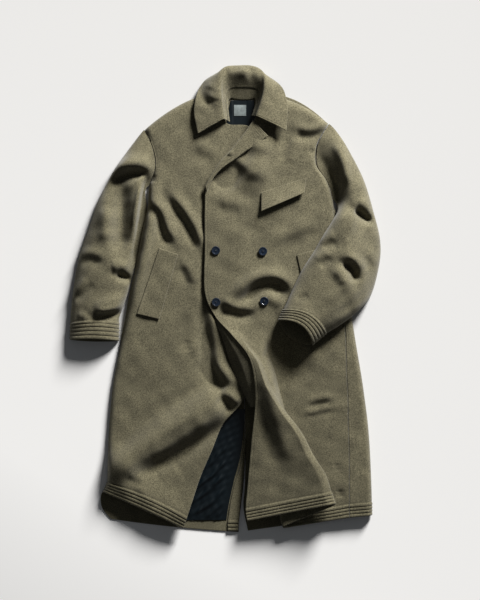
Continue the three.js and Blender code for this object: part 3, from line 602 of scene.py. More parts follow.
@dataclass(frozen=True)
class MeltonFinish:
    """Heavy brushed wool: dark and light fibres mixed, with a short dull nap.

    Attributes:
        dark: colour of the dark fibres.
        light: colour of the light fibres.
        fleck: size of the mixed flecks.
        cloud: size of the soft patches where the nap lies another way.
        nap: height of the fibres on the face.
        shaded: brightness of the darker copy, in which shade is painted.
    """

    dark: Colour = (0.040, 0.036, 0.019)
    light: Colour = (0.176, 0.158, 0.099)
    fleck: float = 2.6
    cloud: float = 38.0
    nap: float = 0.5
    shaded: float = 0.8

    def material(self, shade: Wool) -> Material:
        """Makes the wool.

        Args:
            shade: which kind to make: the plain face, or the darker copy with painted shade.

        Returns:
            The material.
        """
        kit = NodeKit(f"melton_{shade.value}")
        coarse = kit.noise(1 / (self.fleck * MM), detail=4.0, roughness=0.7)
        fibres = kit.noise(1 / (0.9 * MM), detail=2.0, roughness=0.6)
        clouds = kit.noise(1 / (self.cloud * MM), detail=3.0, roughness=0.55)
        fleck = kit.ramp(kit.blend(coarse, fibres, 0.35), 0.36, 0.66)
        # The shaded kind is the same wool made darker: painted shade.
        strength = self.shaded if shade is Wool.SHADED else 1.0
        mottled = kit.mix_colours(fleck, toned(self.dark, strength), toned(self.light, strength))
        patchy = kit.scale_colour(mottled, clouds, 0.84, 1.16)
        kit.shade(patchy, roughness=0.95, specular=0.12, sheen=0.22, sheen_roughness=0.55)
        kit.bump(kit.blend(coarse, fibres, 0.5), self.nap * MM, 0.55)
        return kit.material


@dataclass(frozen=True)
class SatinFinish:
    """Dark blue-black lining satin with a soft shine.

    Attributes:
        colour: the yarn's colour.
        yarn: size of its fine slubs.
    """

    colour: Colour = (0.0016, 0.0042, 0.0060)
    yarn: float = 1.4

    def material(self) -> Material:
        """Makes the satin.

        Returns:
            The material.
        """
        kit = NodeKit("lining_satin")
        slub = kit.noise(1 / (self.yarn * MM), detail=2.0, roughness=0.5, stretch=(1.0, 0.12, 1.0))
        clouds = kit.noise(1 / (45 * MM), detail=2.0, roughness=0.5)
        tinted = kit.mix_colours(slub, toned(self.colour, 0.7), toned(self.colour, 1.5))
        kit.shade(kit.scale_colour(tinted, clouds, 0.8, 1.2), roughness=0.34, specular=0.55)
        kit.bump(slub, 0.12 * MM, 0.3)
        return kit.material


@dataclass(frozen=True)
class HornFinish:
    """Polished blue-black button plastic with faint cloudy grain.

    Attributes:
        colour: the body colour.
    """

    colour: Colour = (0.006, 0.010, 0.018)

    def material(self) -> Material:
        """Makes the button plastic.

        Returns:
            The material.
        """
        kit = NodeKit("button_horn")
        grain = kit.noise(1 / (4 * MM), detail=3.0, roughness=0.6)
        cloudy = kit.mix_colours(grain, toned(self.colour, 0.6), toned(self.colour, 2.2))
        kit.shade(cloudy, roughness=0.22, specular=0.5, coat=0.4)
        kit.bump(grain, 0.05 * MM, 0.2)
        return kit.material


@dataclass(frozen=True)
class LabelFinish:
    """Pale grey woven label, bare.

    Attributes:
        colour: the weft's colour.
        weave: pitch of its fine ribs.
    """

    colour: Colour = (0.135, 0.158, 0.158)
    weave: float = 0.9

    def material(self) -> Material:
        """Makes the label cloth.

        Returns:
            The material.
        """
        kit = NodeKit("label_weave")
        rib = kit.noise(1 / (self.weave * MM), detail=1.0, roughness=0.5, stretch=(0.15, 1.0, 1.0))
        clouds = kit.noise(1 / (9 * MM), detail=2.0, roughness=0.5)
        woven = kit.mix_colours(rib, toned(self.colour, 0.75), toned(self.colour, 1.25))
        kit.shade(kit.scale_colour(woven, clouds, 0.8, 1.2), roughness=0.7, specular=0.3)
        kit.bump(rib, 0.15 * MM, 0.4)
        return kit.material


@dataclass(frozen=True)
class ThreadFinish:
    """Sewing thread.

    Attributes:
        name: what the thread is used for.
        colour: the thread's colour.
    """

    name: str
    colour: Colour

    def material(self) -> Material:
        """Makes the thread.

        Returns:
            The material.
        """
        kit = NodeKit(f"thread_{self.name}")
        ply = kit.noise(1 / (0.7 * MM), detail=1.0, roughness=0.5)
        twisted = kit.mix_colours(ply, toned(self.colour, 0.6), toned(self.colour, 1.3))
        kit.shade(twisted, roughness=0.6, specular=0.3)
        return kit.material


class NodeKit:
    """Builds one procedural material from noise, colour mixes and a bump."""

    def __init__(self, name: str) -> None:
        """Starts a material with its shader and coordinates.

        Args:
            name: the material's name.
        """
        self.material = bpy.data.materials.new(name)
        self.material.use_nodes = True
        self.nodes = self.material.node_tree.nodes
        self.links = self.material.node_tree.links
        self.shader = self.nodes["Principled BSDF"]
        self.place = self.nodes.new("ShaderNodeTexCoord").outputs["Object"]

    def add(self, kind: str, output: str, inputs: dict[str | int, object], **settings: str) -> Socket:
        """Adds a node.

        Args:
            kind: the node's kind.
            output: the output that is wanted.
            inputs: a value, or another node's output, for each input that is set.
            settings: the node's own settings.

        Returns:
            The output.
        """
        node = self.nodes.new(f"ShaderNode{kind}")
        for name, value in settings.items():
            setattr(node, name, value)
        for name, value in inputs.items():
            if isinstance(value, Socket):
                self.links.new(value, node.inputs[name])
            else:
                node.inputs[name].default_value = value
        return node.outputs[output]

    def noise(
        self,
        scale: float,
        detail: float,
        roughness: float,
        stretch: tuple[float, float, float] = (1.0, 1.0, 1.0),
    ) -> Socket:
        """Adds a noise over the object's own coordinates.

        Args:
            scale: cells to the metre.
            detail: octaves.
            roughness: strength of the finer octaves.
            stretch: scale along each axis.

        Returns:
            The noise's value.
        """
        place = self.add("Mapping", "Vector", {"Vector": self.place, "Scale": stretch})
        inputs = {"Vector": place, "Scale": scale, "Detail": detail, "Roughness": roughness}
        return self.add("TexNoise", "Fac", inputs)

    def distance_from(self, place: tuple[float, float, float]) -> Socket:
        """Returns how far each point lies from a place, in metres."""
        return self.add("VectorMath", "Value", {0: self.place, 1: place}, operation="DISTANCE")

    def calculate(self, operation: str, value: Socket, number: float, swapped: bool = False) -> Socket:
        """Applies simple arithmetic to a value.

        Args:
            operation: the arithmetic's name.
            value: the first value.
            number: the second value.
            swapped: whether the number comes first.

        Returns:
            The result.
        """
        first = int(swapped)
        return self.add("Math", "Value", {first: value, 1 - first: number}, operation=operation)

    def blend(self, first: Socket, second: Socket, share: float) -> Socket:
        """Returns a value that lies the given share of the way from first to second."""
        return self.add("Mix", "Result", {"Factor": share, "A": first, "B": second}, data_type="FLOAT")

    def ramp(self, value: Socket, low: float, high: float) -> Socket:
        """Returns the value spread from the range low to high on to 0 to 1."""
        inputs = {"Value": value, "From Min": low, "From Max": high}
        return self.add("MapRange", "Result", inputs, interpolation_type="SMOOTHSTEP")

    def mix_colours(self, share: Socket, first: Colour, second: Colour) -> Socket:
        """Returns a colour between first and second, by share."""
        inputs = {"Factor": share, "A": (*first, 1.0), "B": (*second, 1.0)}
        return self.add("Mix", "Result", inputs, data_type="RGBA")

    def scale_colour(self, colour: Socket, value: Socket, low: float, high: float) -> Socket:
        """Returns the colour made darker or lighter by a value.

        Args:
            colour: the colour to change.
            value: a noise, mostly from 0.3 to 0.7.
            low: brightness where the noise is low.
            high: brightness where the noise is high.

        Returns:
            The changed colour.
        """
        inputs = {"Value": value, "From Min": 0.3, "From Max": 0.7, "To Min": low, "To Max": high}
        brightness = self.add("MapRange", "Result", inputs)
        return self.add("VectorMath", "Vector", {0: colour, "Scale": brightness}, operation="SCALE")

    def bump(self, value: Socket, distance: float, strength: float) -> None:
        """Raises the surface by a value.

        Args:
            value: the height, from 0 to 1.
            distance: how high 1 stands, in metres.
            strength: share of the bump that shows.
        """
        inputs = {"Distance": distance, "Strength": strength, "Height": value}
        self.links.new(self.add("Bump", "Normal", inputs), self.shader.inputs["Normal"])

    def shade(
        self,
        colour: Socket,
        roughness: float,
        specular: float,
        sheen: float = 0.0,
        sheen_roughness: float = 0.5,
        coat: float = 0.0,
    ) -> None:
        """Sets the shader.

        Args:
            colour: the surface colour.
            roughness: how dull it is.
            specular: strength of its reflection.
            sheen: strength of the light that stray fibres catch.
            sheen_roughness: how widely they spread it.
            coat: strength of a polished layer over it.
        """
        self.links.new(colour, self.shader.inputs["Base Color"])
        values = {
            "Roughness": roughness,
            "Specular IOR Level": specular,
            "Sheen Weight": sheen,
            "Sheen Roughness": sheen_roughness,
            "Coat Weight": coat,
        }
        for name, value in values.items():
            self.shader.inputs[name].default_value = value


@dataclass
class Wardrobe:
    """The finishes of the coat, made once each."""

    face: Material = field(default_factory=lambda: MeltonFinish().material(Wool.FACE))
    # The darker copy of the wool, with shade painted in, for the facing.
    shaded: Material = field(default_factory=lambda: MeltonFinish().material(Wool.SHADED))
    satin: Material = field(default_factory=lambda: SatinFinish().material())
    horn: Material = field(default_factory=lambda: HornFinish().material())
    label: Material = field(default_factory=lambda: LabelFinish().material())
    button_thread: Material = field(
        default_factory=lambda: ThreadFinish("button", (0.02, 0.024, 0.03)).material()
    )


def frame_shift() -> tuple[float, float]:
    """Returns the cutter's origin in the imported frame, in millimetres."""
    low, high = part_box("label")
    return (
        (low.x + high.x) / 2 / MM - sum(LABEL_X) / 2,
        (low.y + high.y) / 2 / MM - sum(LABEL_Y) / 2,
    )


SHIFT_X, SHIFT_Y = frame_shift()


def even_rows(start: float, end: float, line: Line, step: float) -> Array:
    """Spreads rows evenly along a table.

    Args:
        start: first place.
        end: last place.
        line: gives the x and y of a line along the panel at each place.
        step: wanted distance between rows.

    Returns:
        The places of the rows, start and end among them.
    """
    dense = np.linspace(start, end, 600)
    x, y = line(dense)
    travelled = np.concatenate([[0.0], np.cumsum(np.hypot(np.diff(x), np.diff(y)))])
    count = max(int(round(travelled[-1] / step)), 2)
    return np.interp(np.linspace(0, travelled[-1], count + 1), travelled, dense)


def panel_rows(table: Sections, line: Line, step: float) -> Array:
    """Spreads a front's rows: fine at the shoulder and over the quilted band.

    Args:
        table: the front's table.
        line: its middle line.
        step: wanted distance between the other rows.

    Returns:
        The places of the rows.
    """
    shoulder = np.linspace(0, SHOULDER_SHARE, SHOULDER_ROWS)[:-1]
    upper = even_rows(0, table.last - 1, line, step)
    band = even_rows(table.last - 1, table.last, line, RIB_ROW)[1:]
    return np.concatenate([shoulder, upper[upper >= SHOULDER_SHARE], band])


def shares_across(width: Array, step: float, start: Sequence[float], end: Sequence[float]) -> Array:
    """Spreads columns across a panel: fine near its edges, even between them.

    Args:
        width: width of each row.
        step: wanted distance between the even columns.
        start: distances of the fine columns from the first edge.
        end: distances of the fine columns from the last edge.

    Returns:
        Shares from 0 to 1, a row of them for each width.
    """
    wide = width[:, None]
    first = np.array(start)[None, :] / wide
    last = 1 - np.array(end)[None, ::-1] / wide
    count = max(int(round((width.max() - start[-1] - end[-1]) / step)), 2)
    share = (np.arange(1, count) / count)[None, :]
    middle = first[:, -1:] + (last[:, :1] - first[:, -1:]) * share
    return np.concatenate([first, middle, last], axis=1)


def groove(distance: Array, at: float, depth: float = STITCH_DEPTH, width: float = STITCH_WIDTH) -> Array:
    """Returns the relief of a line of stitching at a distance from an edge."""
    pinch = -depth * np.exp(-(((distance - at) / width) ** 2))
    puff = PUFF_SHARE * depth * np.exp(-(((distance - at) / (PUFF_WIDTH * width)) ** 2))
    return pinch + puff


def double_groove(distance: Array, places: tuple[float, float]) -> Array:
    """Returns the relief of two lines of stitching beside each other."""
    return groove(distance, places[0]) + groove(distance, places[1])


def channels(share: Array, count: int) -> Array:
    """Works out quilted channels.

    Args:
        share: place across the band, from 0 where it starts to 1 at the edge.
        count: number of channels.

    Returns:
        The relief: rounded ridges between sewn grooves.
    """
    lobe = np.abs(np.sin(np.pi * count * np.clip(share, 0, 1)))
    sewn = np.exp(-((lobe / RIB_GROOVE_WIDTH) ** 2))
    return np.where(share > -BAND_AHEAD, RIB_HEIGHT * np.sqrt(lobe) - RIB_GROOVE * sewn, 0.0)


def seamed(z: Array, lift: Array, from_side: Array, place: Array) -> Array:
    """Rounds a front down to its side seam and its shoulder seam.

    Args:
        z: the front's height.
        lift: how far the side itself is lifted to that height, from 0 to 1.
        from_side: distance from the side seam.
        place: the rows' places in the front's table.

    Returns:
        The rounded height.
    """
    side = mix(np.clip(lift, 0, 1), 1, quarter_round(from_side / SIDE_ROUND))
    shoulder = quarter_round(place * SHOULDER_PLACE / SHOULDER_ROUND)
    return mix(SIDE_SEAM_Z, z, side * shoulder)


def surface(x: Array, y: Array, z: Array) -> Array:
    """Returns a grid of points from their three coordinates."""
    return np.stack(np.broadcast_arrays(x, y, z), axis=-1)


def unit(vectors: Array) -> Array:
    """Returns the vectors at length one."""
    return vectors / np.maximum(np.linalg.norm(vectors, axis=-1, keepdims=True), 1e-9)


@dataclass
class Wall:
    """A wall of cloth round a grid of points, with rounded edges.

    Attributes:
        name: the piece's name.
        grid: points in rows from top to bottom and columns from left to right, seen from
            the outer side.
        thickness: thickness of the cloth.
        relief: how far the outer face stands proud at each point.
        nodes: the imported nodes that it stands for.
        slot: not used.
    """

    name: str
    grid: Array
    thickness: float
    relief: Array | float
    nodes: Sequence[str]
    slot: str

    ROUND_STEPS = (0.8, 0.45, 0.0, -0.45, -0.8)

    def flat_size(self) -> tuple[float, float, float]:
        """Measures the piece as it was cut, by its developed rows and columns.

        Returns:
            Width, length and area in metres and square metres.
        """
        across = np.linalg.norm(np.diff(self.grid, axis=1), axis=-1)
        down = np.linalg.norm(np.diff(self.grid, axis=0), axis=-1)
        first = self.grid[1:, :-1] - self.grid[:-1, :-1]
        second = self.grid[:-1, 1:] - self.grid[:-1, :-1]
        third = self.grid[1:, 1:] - self.grid[:-1, 1:]
        fourth = self.grid[1:, 1:] - self.grid[1:, :-1]
        upper = np.linalg.norm(np.cross(first, second), axis=-1) / 2
        lower = np.linalg.norm(np.cross(third, fourth), axis=-1) / 2
        width = across.sum(axis=1).max() * MM
        length = down.sum(axis=0).max() * MM
        return width, length, (upper.sum() + lower.sum()) * MM * MM

    def build(self, material: Material) -> Object:
        """Makes the wall's mesh and joins it to the frame.

        Args:
            material: the finish.

        Returns:
            The new object.
        """
        grid = self.grid
        rows, columns = grid.shape[:2]
        padded_across = np.concatenate([grid[:, :1], grid, grid[:, -1:]], axis=1)
        padded_down = np.concatenate([grid[:1], grid, grid[-1:]], axis=0)
        across = unit(padded_across[:, 2:] - padded_across[:, :-2])
        down = unit(padded_down[2:] - padded_down[:-2])
        normal = unit(np.cross(down, across))
        half = self.thickness / 2
        relief = np.broadcast_to(np.asarray(self.relief, float), (rows, columns))
        out_way = np.zeros_like(grid)
        out_way[:, 0] -= across[:, 0]
        out_way[:, -1] += across[:, -1]
        out_way[0] -= down[0]
        out_way[-1] += down[-1]
        out_way = unit(out_way) * (np.linalg.norm(out_way, axis=-1, keepdims=True) > 0.5)
        base = grid - out_way * half
        outer = base + normal * (half + relief)[..., None]
        inner = base - normal * half
        loop = (
            [(r, 0) for r in range(rows - 1)]
            + [(rows - 1, c) for c in range(columns - 1)]
            + [(r, columns - 1) for r in range(rows - 1, 0, -1)]
            + [(0, c) for c in range(columns - 1, 0, -1)]
        )
        lr, lc = np.array(loop).T
        rings = []
        for height in self.ROUND_STEPS:
            swell = math.sqrt(1 - height * height)
            top = half + relief[lr, lc] if height > 0 else half
            rise = height * top
            rings.append(
                base[lr, lc]
                + normal[lr, lc] * np.reshape(rise * np.ones(len(lr)), (-1, 1))
                + out_way[lr, lc] * (swell * half)
            )
        points = np.concatenate([outer.reshape(-1, 3), inner.reshape(-1, 3), *rings])
        index = np.arange(rows * columns).reshape(rows, columns)
        a, b = index[:-1, :-1].ravel(), index[1:, :-1].ravel()
        c, d = index[1:, 1:].ravel(), index[:-1, 1:].ravel()
        offset = rows * columns
        faces = [np.stack([a, b, c, d], 1), np.stack([a, d, c, b], 1) + offset]
        chain = [index[lr, lc]]
        count = len(loop)
        for k in range(len(rings)):
            chain.append(2 * offset + k * count + np.arange(count))
        chain.append(index[lr, lc] + offset)
        for upper, lower in zip(chain[:-1], chain[1:]):
            faces.append(np.stack([np.roll(upper, -1), upper, lower, np.roll(lower, -1)], 1))
        return self._dress(points, np.concatenate(faces), material)

    def _dress(self, points: Array, faces: Array, material: Material) -> Object:
        """Args:
            points: vertices in millimetres, in the cutter's frame.
            faces: four vertex numbers each.
            material: the finish.

        Returns:
            The object.
        """
        mesh = new_mesh(self.name, points, faces, material)
        piece = add_piece(mesh)
        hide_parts(*self.nodes)
        width, length, area = self.flat_size()
        piece["flat"] = [width, length, area]
        return piece


def new_mesh(name: str, points: Array, faces: Array, material: Material) -> bpy.types.Mesh:
    """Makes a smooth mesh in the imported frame.

    Args:
        name: its name.
        points: vertices in millimetres, in the cutter's frame.
        faces: vertex numbers, the same count for each face.
        material: its finish.

    Returns:
        The mesh.
    """
    placed = (points + np.array([SHIFT_X, SHIFT_Y, 0.0])) * MM
    corners = faces.shape[1]
    mesh = bpy.data.meshes.new(name)
    mesh.vertices.add(len(placed))
    mesh.vertices.foreach_set("co", placed.astype(np.float32).ravel())
    mesh.loops.add(faces.size)
    mesh.loops.foreach_set("vertex_index", faces.astype(np.int32).ravel())
    mesh.polygons.add(len(faces))
    mesh.polygons.foreach_set("loop_start", np.arange(0, faces.size, corners, dtype=np.int32))
    mesh.polygons.foreach_set("use_smooth", np.ones(len(faces), bool))
    mesh.update(calc_edges=True)
    mesh.validate()
    mesh.materials.append(material)
    return mesh


def add_piece(mesh: bpy.types.Mesh) -> Object:
    """Returns a new object on the coat's one body."""
    piece = bpy.data.objects.new(mesh.name, mesh)
    bpy.context.scene.collection.objects.link(piece)
    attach(piece, ROOT_BODY)
    return piece


def sew(
    name: str,
    node: str,
    cloth: tuple[Array, Array | float],
    material: Material,
    thickness: float = MELTON,
    slot: str = "wool",
) -> None:
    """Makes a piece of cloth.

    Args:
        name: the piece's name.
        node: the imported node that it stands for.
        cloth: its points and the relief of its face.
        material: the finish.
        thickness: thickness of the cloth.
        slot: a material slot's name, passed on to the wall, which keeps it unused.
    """
    grid, relief = cloth
    wall = Wall(name, grid, thickness, relief, [node], slot)
    wall.build(material)


@dataclass
class RightFront:
    """The right front, the under panel of the double-breasted front."""

    step: float = STEP

    def grid(self) -> tuple[Array, Array]:
        """Works out the panel.

        Returns:
            Its points and the relief of its face.
        """
        places = panel_rows(RIGHT, RIGHT.between("side", "front"), self.step)
        s = RIGHT.columns(places)
        p = places[:, None]
        width = np.hypot(s["front_x"] - s["side_x"], s["front_y"] - s["side_y"])
        u = shares_across(width[:, 0], self.step, NEAR_SEAM, NEAR_EDGE)
        x = mix(s["side_x"], s["front_x"], u)
        y = mix(s["side_y"], s["front_y"], u) + s["bow"] * 4 * u * (1 - u)
        z = seamed(right_front_z(x, y), s["lift"], u * width, p)
        relief = channels(p - (RIGHT.last - 1), HEM_RIBS) * np.ones_like(u)
        armhole = smooth((RIGHT_ARMPIT - STITCH_END - p) / STITCH_END_EASE)
        return surface(x, y, z), relief + armhole * double_groove(u * width, ARMHOLE_STITCHES)

    def build(self, wardrobe: Wardrobe) -> None:
        """Makes the panel.

        Args:
            wardrobe: the finishes.
        """
        sew("right_front", "front_right", self.grid(), wardrobe.face)


# The big fold of the left front: how far from its lines it starts to bend, how round it is,
# how far its bend reaches where it lies double, and the part of it that is pressed flat
FOLD_EASE = 16.0
FOLD_ROUNDNESS = 0.1
FOLD_REACH = 20.0
FOLD_REACH_EASE = 45.0
TURN_SHARES = (0.45, 0.9)
TURN_EASE = 4.0

# The place at which the lapel ends and the edge's stitching starts
LAPEL_END = 4.6
LAPEL_END_EASE = 0.3


@dataclass
class LeftFront:
    """The left front, the over panel, with the big fold that runs down to the hem."""

    step: float = STEP
    fold_steps: int = 60

    def grid(self) -> tuple[Array, Array]:
        """Works out the panel.

        Returns:
            Its points and the relief of its face.
        """
        places = panel_rows(LEFT, LEFT.between("front", "seam"), self.step)
        s = LEFT.at(places)
        p = places[:, None]
        front = np.stack([s["front_x"], s["front_y"]], -1)
        crest = np.stack([s["crest_x"], s["crest_y"]], -1)
        turn = np.stack([s["turn_x"], s["turn_y"]], -1)
        seam = np.stack([s["seam_x"], s["seam_y"]], -1)
        to_crest = unit(crest - front)
        to_seam = unit(seam - turn)
        overlap = s["crest_x"] - s["turn_x"]
        single = -FOLD_EASE / 3 - overlap / 3
        doubled = smooth((overlap + FOLD_REACH) / FOLD_REACH_EASE)
        reach = mix(single, FOLD_REACH + overlap / 2, doubled)[:, None]
        knots = [
            crest - to_crest * FOLD_EASE,
            crest + to_crest * reach,
            turn - to_seam * reach,
            turn + to_seam * FOLD_EASE,
        ]
        face_width = np.linalg.norm(knots[0] - front, axis=-1)
        before = shares_across(face_width, self.step, NEAR_EDGE, [0.0])[:, :-1]
        t = np.linspace(0, 1, self.fold_steps + 1)[None, :]
        beside_width = np.linalg.norm(seam - knots[3], axis=-1)
        beyond = shares_across(beside_width, self.step, [0.0], NEAR_SEAM)[:, 1:]
        weights = [(1 - t) ** 3, 3 * t * (1 - t) ** 2, 3 * t * t * (1 - t), t**3]
        parts_xy = [
            mix(front[:, None], knots[0][:, None], before[..., None]),
            sum(knot[:, None] * weight[..., None] for knot, weight in zip(knots, weights)),
            mix(knots[3][:, None], seam[:, None], beyond[..., None]),
        ]
        sunk = t + FOLD_ROUNDNESS * np.sin(2 * np.pi * t)
        crest_rise = s["crest_rise"][:, None]
        turn_rise = s["turn_rise"][:, None]
        rises = [
            mix(s["front_rise"][:, None], crest_rise, before),
            mix(crest_rise, turn_rise, sunk),
            mix(turn_rise, 0.0, beyond),
        ]
        xy = np.concatenate(parts_xy, axis=1)
        rise = np.concatenate(rises, axis=1)
        x, y = xy[..., 0], xy[..., 1]
        from_seam = np.linalg.norm(xy - seam[:, None], axis=-1)
        z = seamed(left_front_z(x, y) + rise, s["lift"][:, None], from_seam, p)
        columns = np.arange(xy.shape[1])
        fold_start = before.shape[1]
        turn_start, turn_end = (fold_start + share * self.fold_steps for share in TURN_SHARES)
        in_turn = smooth((columns - turn_start) / TURN_EASE) * smooth((turn_end - columns) / TURN_EASE)
        relief = channels(p - (LEFT.last - 1), HEM_RIBS) * (1 - in_turn)[None, :]
        from_front = np.linalg.norm(xy - front[:, None], axis=-1)
        below_lapel = smooth((p - LAPEL_END) / LAPEL_END_EASE) * smooth((LEFT.last - 1 - p) / 0.1 + 1)
        edge = groove(from_front, STITCH_IN) * below_lapel * (columns < fold_start)[None, :]
        seam_lines = double_groove(from_seam, SIDE_STITCHES) * (columns > fold_start + self.fold_steps)
        return surface(x, y, z), relief + edge + seam_lines

    def build(self, wardrobe: Wardrobe) -> None:
        """Makes the panel.

        Args:
            wardrobe: the finishes.
        """
        sew("left_front", "front_left", self.grid(), wardrobe.face)


BACK_RIGHT = Sections(
    ["side_x", "side_y", "centre_x", "centre_y", "bow"],
    [
        [-210, 449, 49, 530, 40],
        [-182, 343, 49, 380, 0],
        [-203, 240, 49, 240, 0],
        [-253, 4, 50, 0, 0],
        [-292, -213, 52, -220, 0],
        [-308, -400, 54, -410, 0],
        [-309, -478, 50, -490, 0],
        [-327, -518, 44, -540, 0],
        [-324, -552, 39, -582, 0],
        [-302, -581, 37, -616, -4],
    ],
)
BACK_LEFT_CENTRE = Sections(
    ["x", "y"],
    [
        [50, 530], [50, 380], [50, 240], [51, 0], [53, -220],
        [55, -410], [54, -490], [50, -550], [62, -612],
    ],
)
NECK_BOW = 40.0
SEAM_PLAN_GAP = 0.6

# The centre seam above the armpits: its x, its y at the neck and at the armpit, and the places
# in the halves' own tables that follow below
RIGHT_CENTRE_X = 49.0
RIGHT_CENTRE_ARMPIT_Y = 300.0
RIGHT_LOW_START = 2.0
LEFT_CENTRE_X = 50.0
LEFT_CENTRE_NECK_Y = 530.0
LEFT_CENTRE_ARMPIT_Y = 265.0
LEFT_LOW_START = 1.8

# The wrapped strip: how much finer its columns are at its edge, and its stitching's distance,
# depth and width
WRAP_CROWDING = 1.6
WRAP_STITCH = (5.5, 0.5, 1.2)


@dataclass
class Back:
    """The back: two halves on the floor, and the strip that wraps round the left side.

    Attributes:
        columns: points across each half.
        upper_rows: rows above the armpit.
        lower_rows: rows below it.
    """

    columns: int = 40
    upper_rows: int = 30
    lower_rows: int = 90

    def _row(self, side: tuple[Array, Array], centre: tuple[Array, Array], bow: Array) -> Array:
        """Returns rows of points from the side to the centre seam, flat on the floor."""
        u = np.linspace(0, 1, self.columns)[None, :]
        x = mix(side[0][:, None], centre[0][:, None], u)
        y = mix(side[1][:, None], centre[1][:, None], u) + bow[:, None] * 4 * u * (1 - u)
        return surface(x, y, BACK_Z)

    def right_half(self) -> Array:
        """Returns the right half's points."""
        p = np.linspace(0, RIGHT_ARMPIT, self.upper_rows)
        s = RIGHT.at(p)
        down = p / RIGHT_ARMPIT
        shoulder = BACK_RIGHT.at(0.0)
        centre = (np.full_like(p, RIGHT_CENTRE_X), mix(shoulder["centre_y"], RIGHT_CENTRE_ARMPIT_Y, down))
        top = self._row((s["side_x"], s["side_y"]), centre, shoulder["bow"] * (1 - smooth(down * 2)))
        q = np.linspace(RIGHT_LOW_START, BACK_RIGHT.last, self.lower_rows)[1:]
        b = BACK_RIGHT.at(q)
        low = self._row((b["side_x"], b["side_y"]), (b["centre_x"], b["centre_y"]), b["bow"])
        return np.concatenate([top, low])

    def left_half(self) -> Array:
        """Returns the left half's points."""
        p = np.linspace(0, LEFT_ARMPIT, self.upper_rows)
        s = LEFT.at(p)
        down = p / LEFT_ARMPIT
        centre = (np.full_like(p, LEFT_CENTRE_X), mix(LEFT_CENTRE_NECK_Y, LEFT_CENTRE_ARMPIT_Y, down))
        top = self._row((s["seam_x"], s["seam_y"]), centre, NECK_BOW * (1 - smooth(down * 2)))
        share = np.linspace(0, 1, self.lower_rows)[1:]
        s = LEFT.at(mix(LEFT_ARMPIT, LEFT.last, share))
        c = BACK_LEFT_CENTRE.at(mix(LEFT_LOW_START, BACK_LEFT_CENTRE.last, share))
        low = self._row((s["edge_x"], s["edge_y"] + 4 * share), (c["x"], c["y"]), np.zeros_like(share))
        return np.concatenate([top, low])[:, ::-1]

    def wrap(self) -> tuple[Array, Array]:
        """Returns the wrapped strip's points and relief."""
        seam = LEFT.between("seam", "seam")
        upper = even_rows(LEFT_ARMPIT + 0.5, LEFT.last - 1, seam, STEP)
        band = even_rows(LEFT.last - 1, LEFT.last, seam, RIB_ROW)[1:]
        places = np.concatenate([upper, band])
        s = LEFT.columns(places)
        u = 1 - (1 - np.linspace(0, 1, self.upper_rows)[None, :]) ** WRAP_CROWDING
        width = s["edge_x"] - s["seam_x"]
        x = mix(s["seam_x"] + SEAM_PLAN_GAP, s["edge_x"], u)
        y = mix(s["seam_y"], s["edge_y"], u)
        side = quarter_round((1 - u) * width / np.minimum(width, SIDE_ROUND))
        z = mix(SIDE_SEAM_Z, left_front_z(x, y), side * np.clip(s["lift"], 0, 1))
        relief = channels(places[:, None] - (LEFT.last - 1), HEM_RIBS) * np.ones_like(u)
        return surface(x, y, z), relief + groove(u * width, *WRAP_STITCH)

    def build(self, wardrobe: Wardrobe) -> None:
        """Makes the back's three pieces.

        Args:
            wardrobe: the finishes.
        """
        face, floor = wardrobe.face, ["the floor"]
        sew("back_half_right", "back_right", (self.right_half(), 0.0), face)
        sew("back_half_left", "back_left", (self.left_half(), 0.0), face)
        sew("back_side_wrap", "back_left_wrap", self.wrap(), face)


SLEEVE_COLUMNS = ["outer_x", "outer_y", "inner_x", "inner_y", "height", "top_bow", "under_bow"]
SLEEVE_RIGHT = Sections(
    SLEEVE_COLUMNS,
    [
        [-210, 449, -197, 301, 12, 0, 0],
        [-240, 414, -215, 288, 20, 0, 0],
        [-283, 354, -206, 248, 28, 0, 0],
        [-309, 309, -208, 219, 32, 0, 0],
        [-335, 256, -213, 189, 34, 0, 0],
        [-356, 195, -222, 142, 34, 0, 0],
        [-379, 129, -233, 99, 34, 0, 0],
        [-392, 73, -247, 54, 34, 0, 0],
        [-401, 15, -259, 9, 34, 0, 0],
        [-406, -40, -277, -40, 32, 4, 0],
        [-407, -62, -280, -60, 32, 6, 0],
        [-408, -107, -281, -110, 32, 4, -3],
    ],
)
SLEEVE_LEFT = Sections(
    SLEEVE_COLUMNS,
    [
        [274, 465, 285, 265, 12, 0, 0],
        [300, 441, 293, 259, 20, 0, 0],
        [327, 396, 299, 247, 30, 0, 0],
        [367, 317, 297, 228, 34, 0, 0],
        [394, 229, 283, 203, 36, 0, 0],
        [411, 155, 258, 163, 36, 0, 0],
        [408, 89, 235, 123, 36, 0, 0],
        [384, 7, 205, 76, 36, 0, 0],
        [338, -41, 179, 23, 36, 6, 0],
        [296, -72, 163, -12, 38, 16, 0],
        [270, -88, 156, -26, 40, 22, 0],
        [231, -120, 142, -56, 42, 24, -18],
    ],
)
SLEEVE_EDGE_LIFT = 1.0
SLEEVE_SPLIT = MELTON / 2 + SEAM_GAP + SLEEVE_EDGE_LIFT
SPLIT_STEP = 4.0
ARMHOLE_GAP = 2.5
SLEEVE_FULLNESS = 2.6
SLEEVE_CREASE_EASE = 1.4
SLEEVE_LEAST = 0.2

# The left forearm lies over the body: its under half climbs from the floor on to the front.
BODY_EDGE_X = 325.0
BODY_EDGE_LEAN = 0.145
BODY_EDGE_Y = 15.0
BODY_EDGE_CLIMB = 80.0
BODY_EDGE_SHORT = 8.0
ELBOW_Y = 258.0
ELBOW_EASE = 56.0
FOREARM_CLEARANCE = 6.4

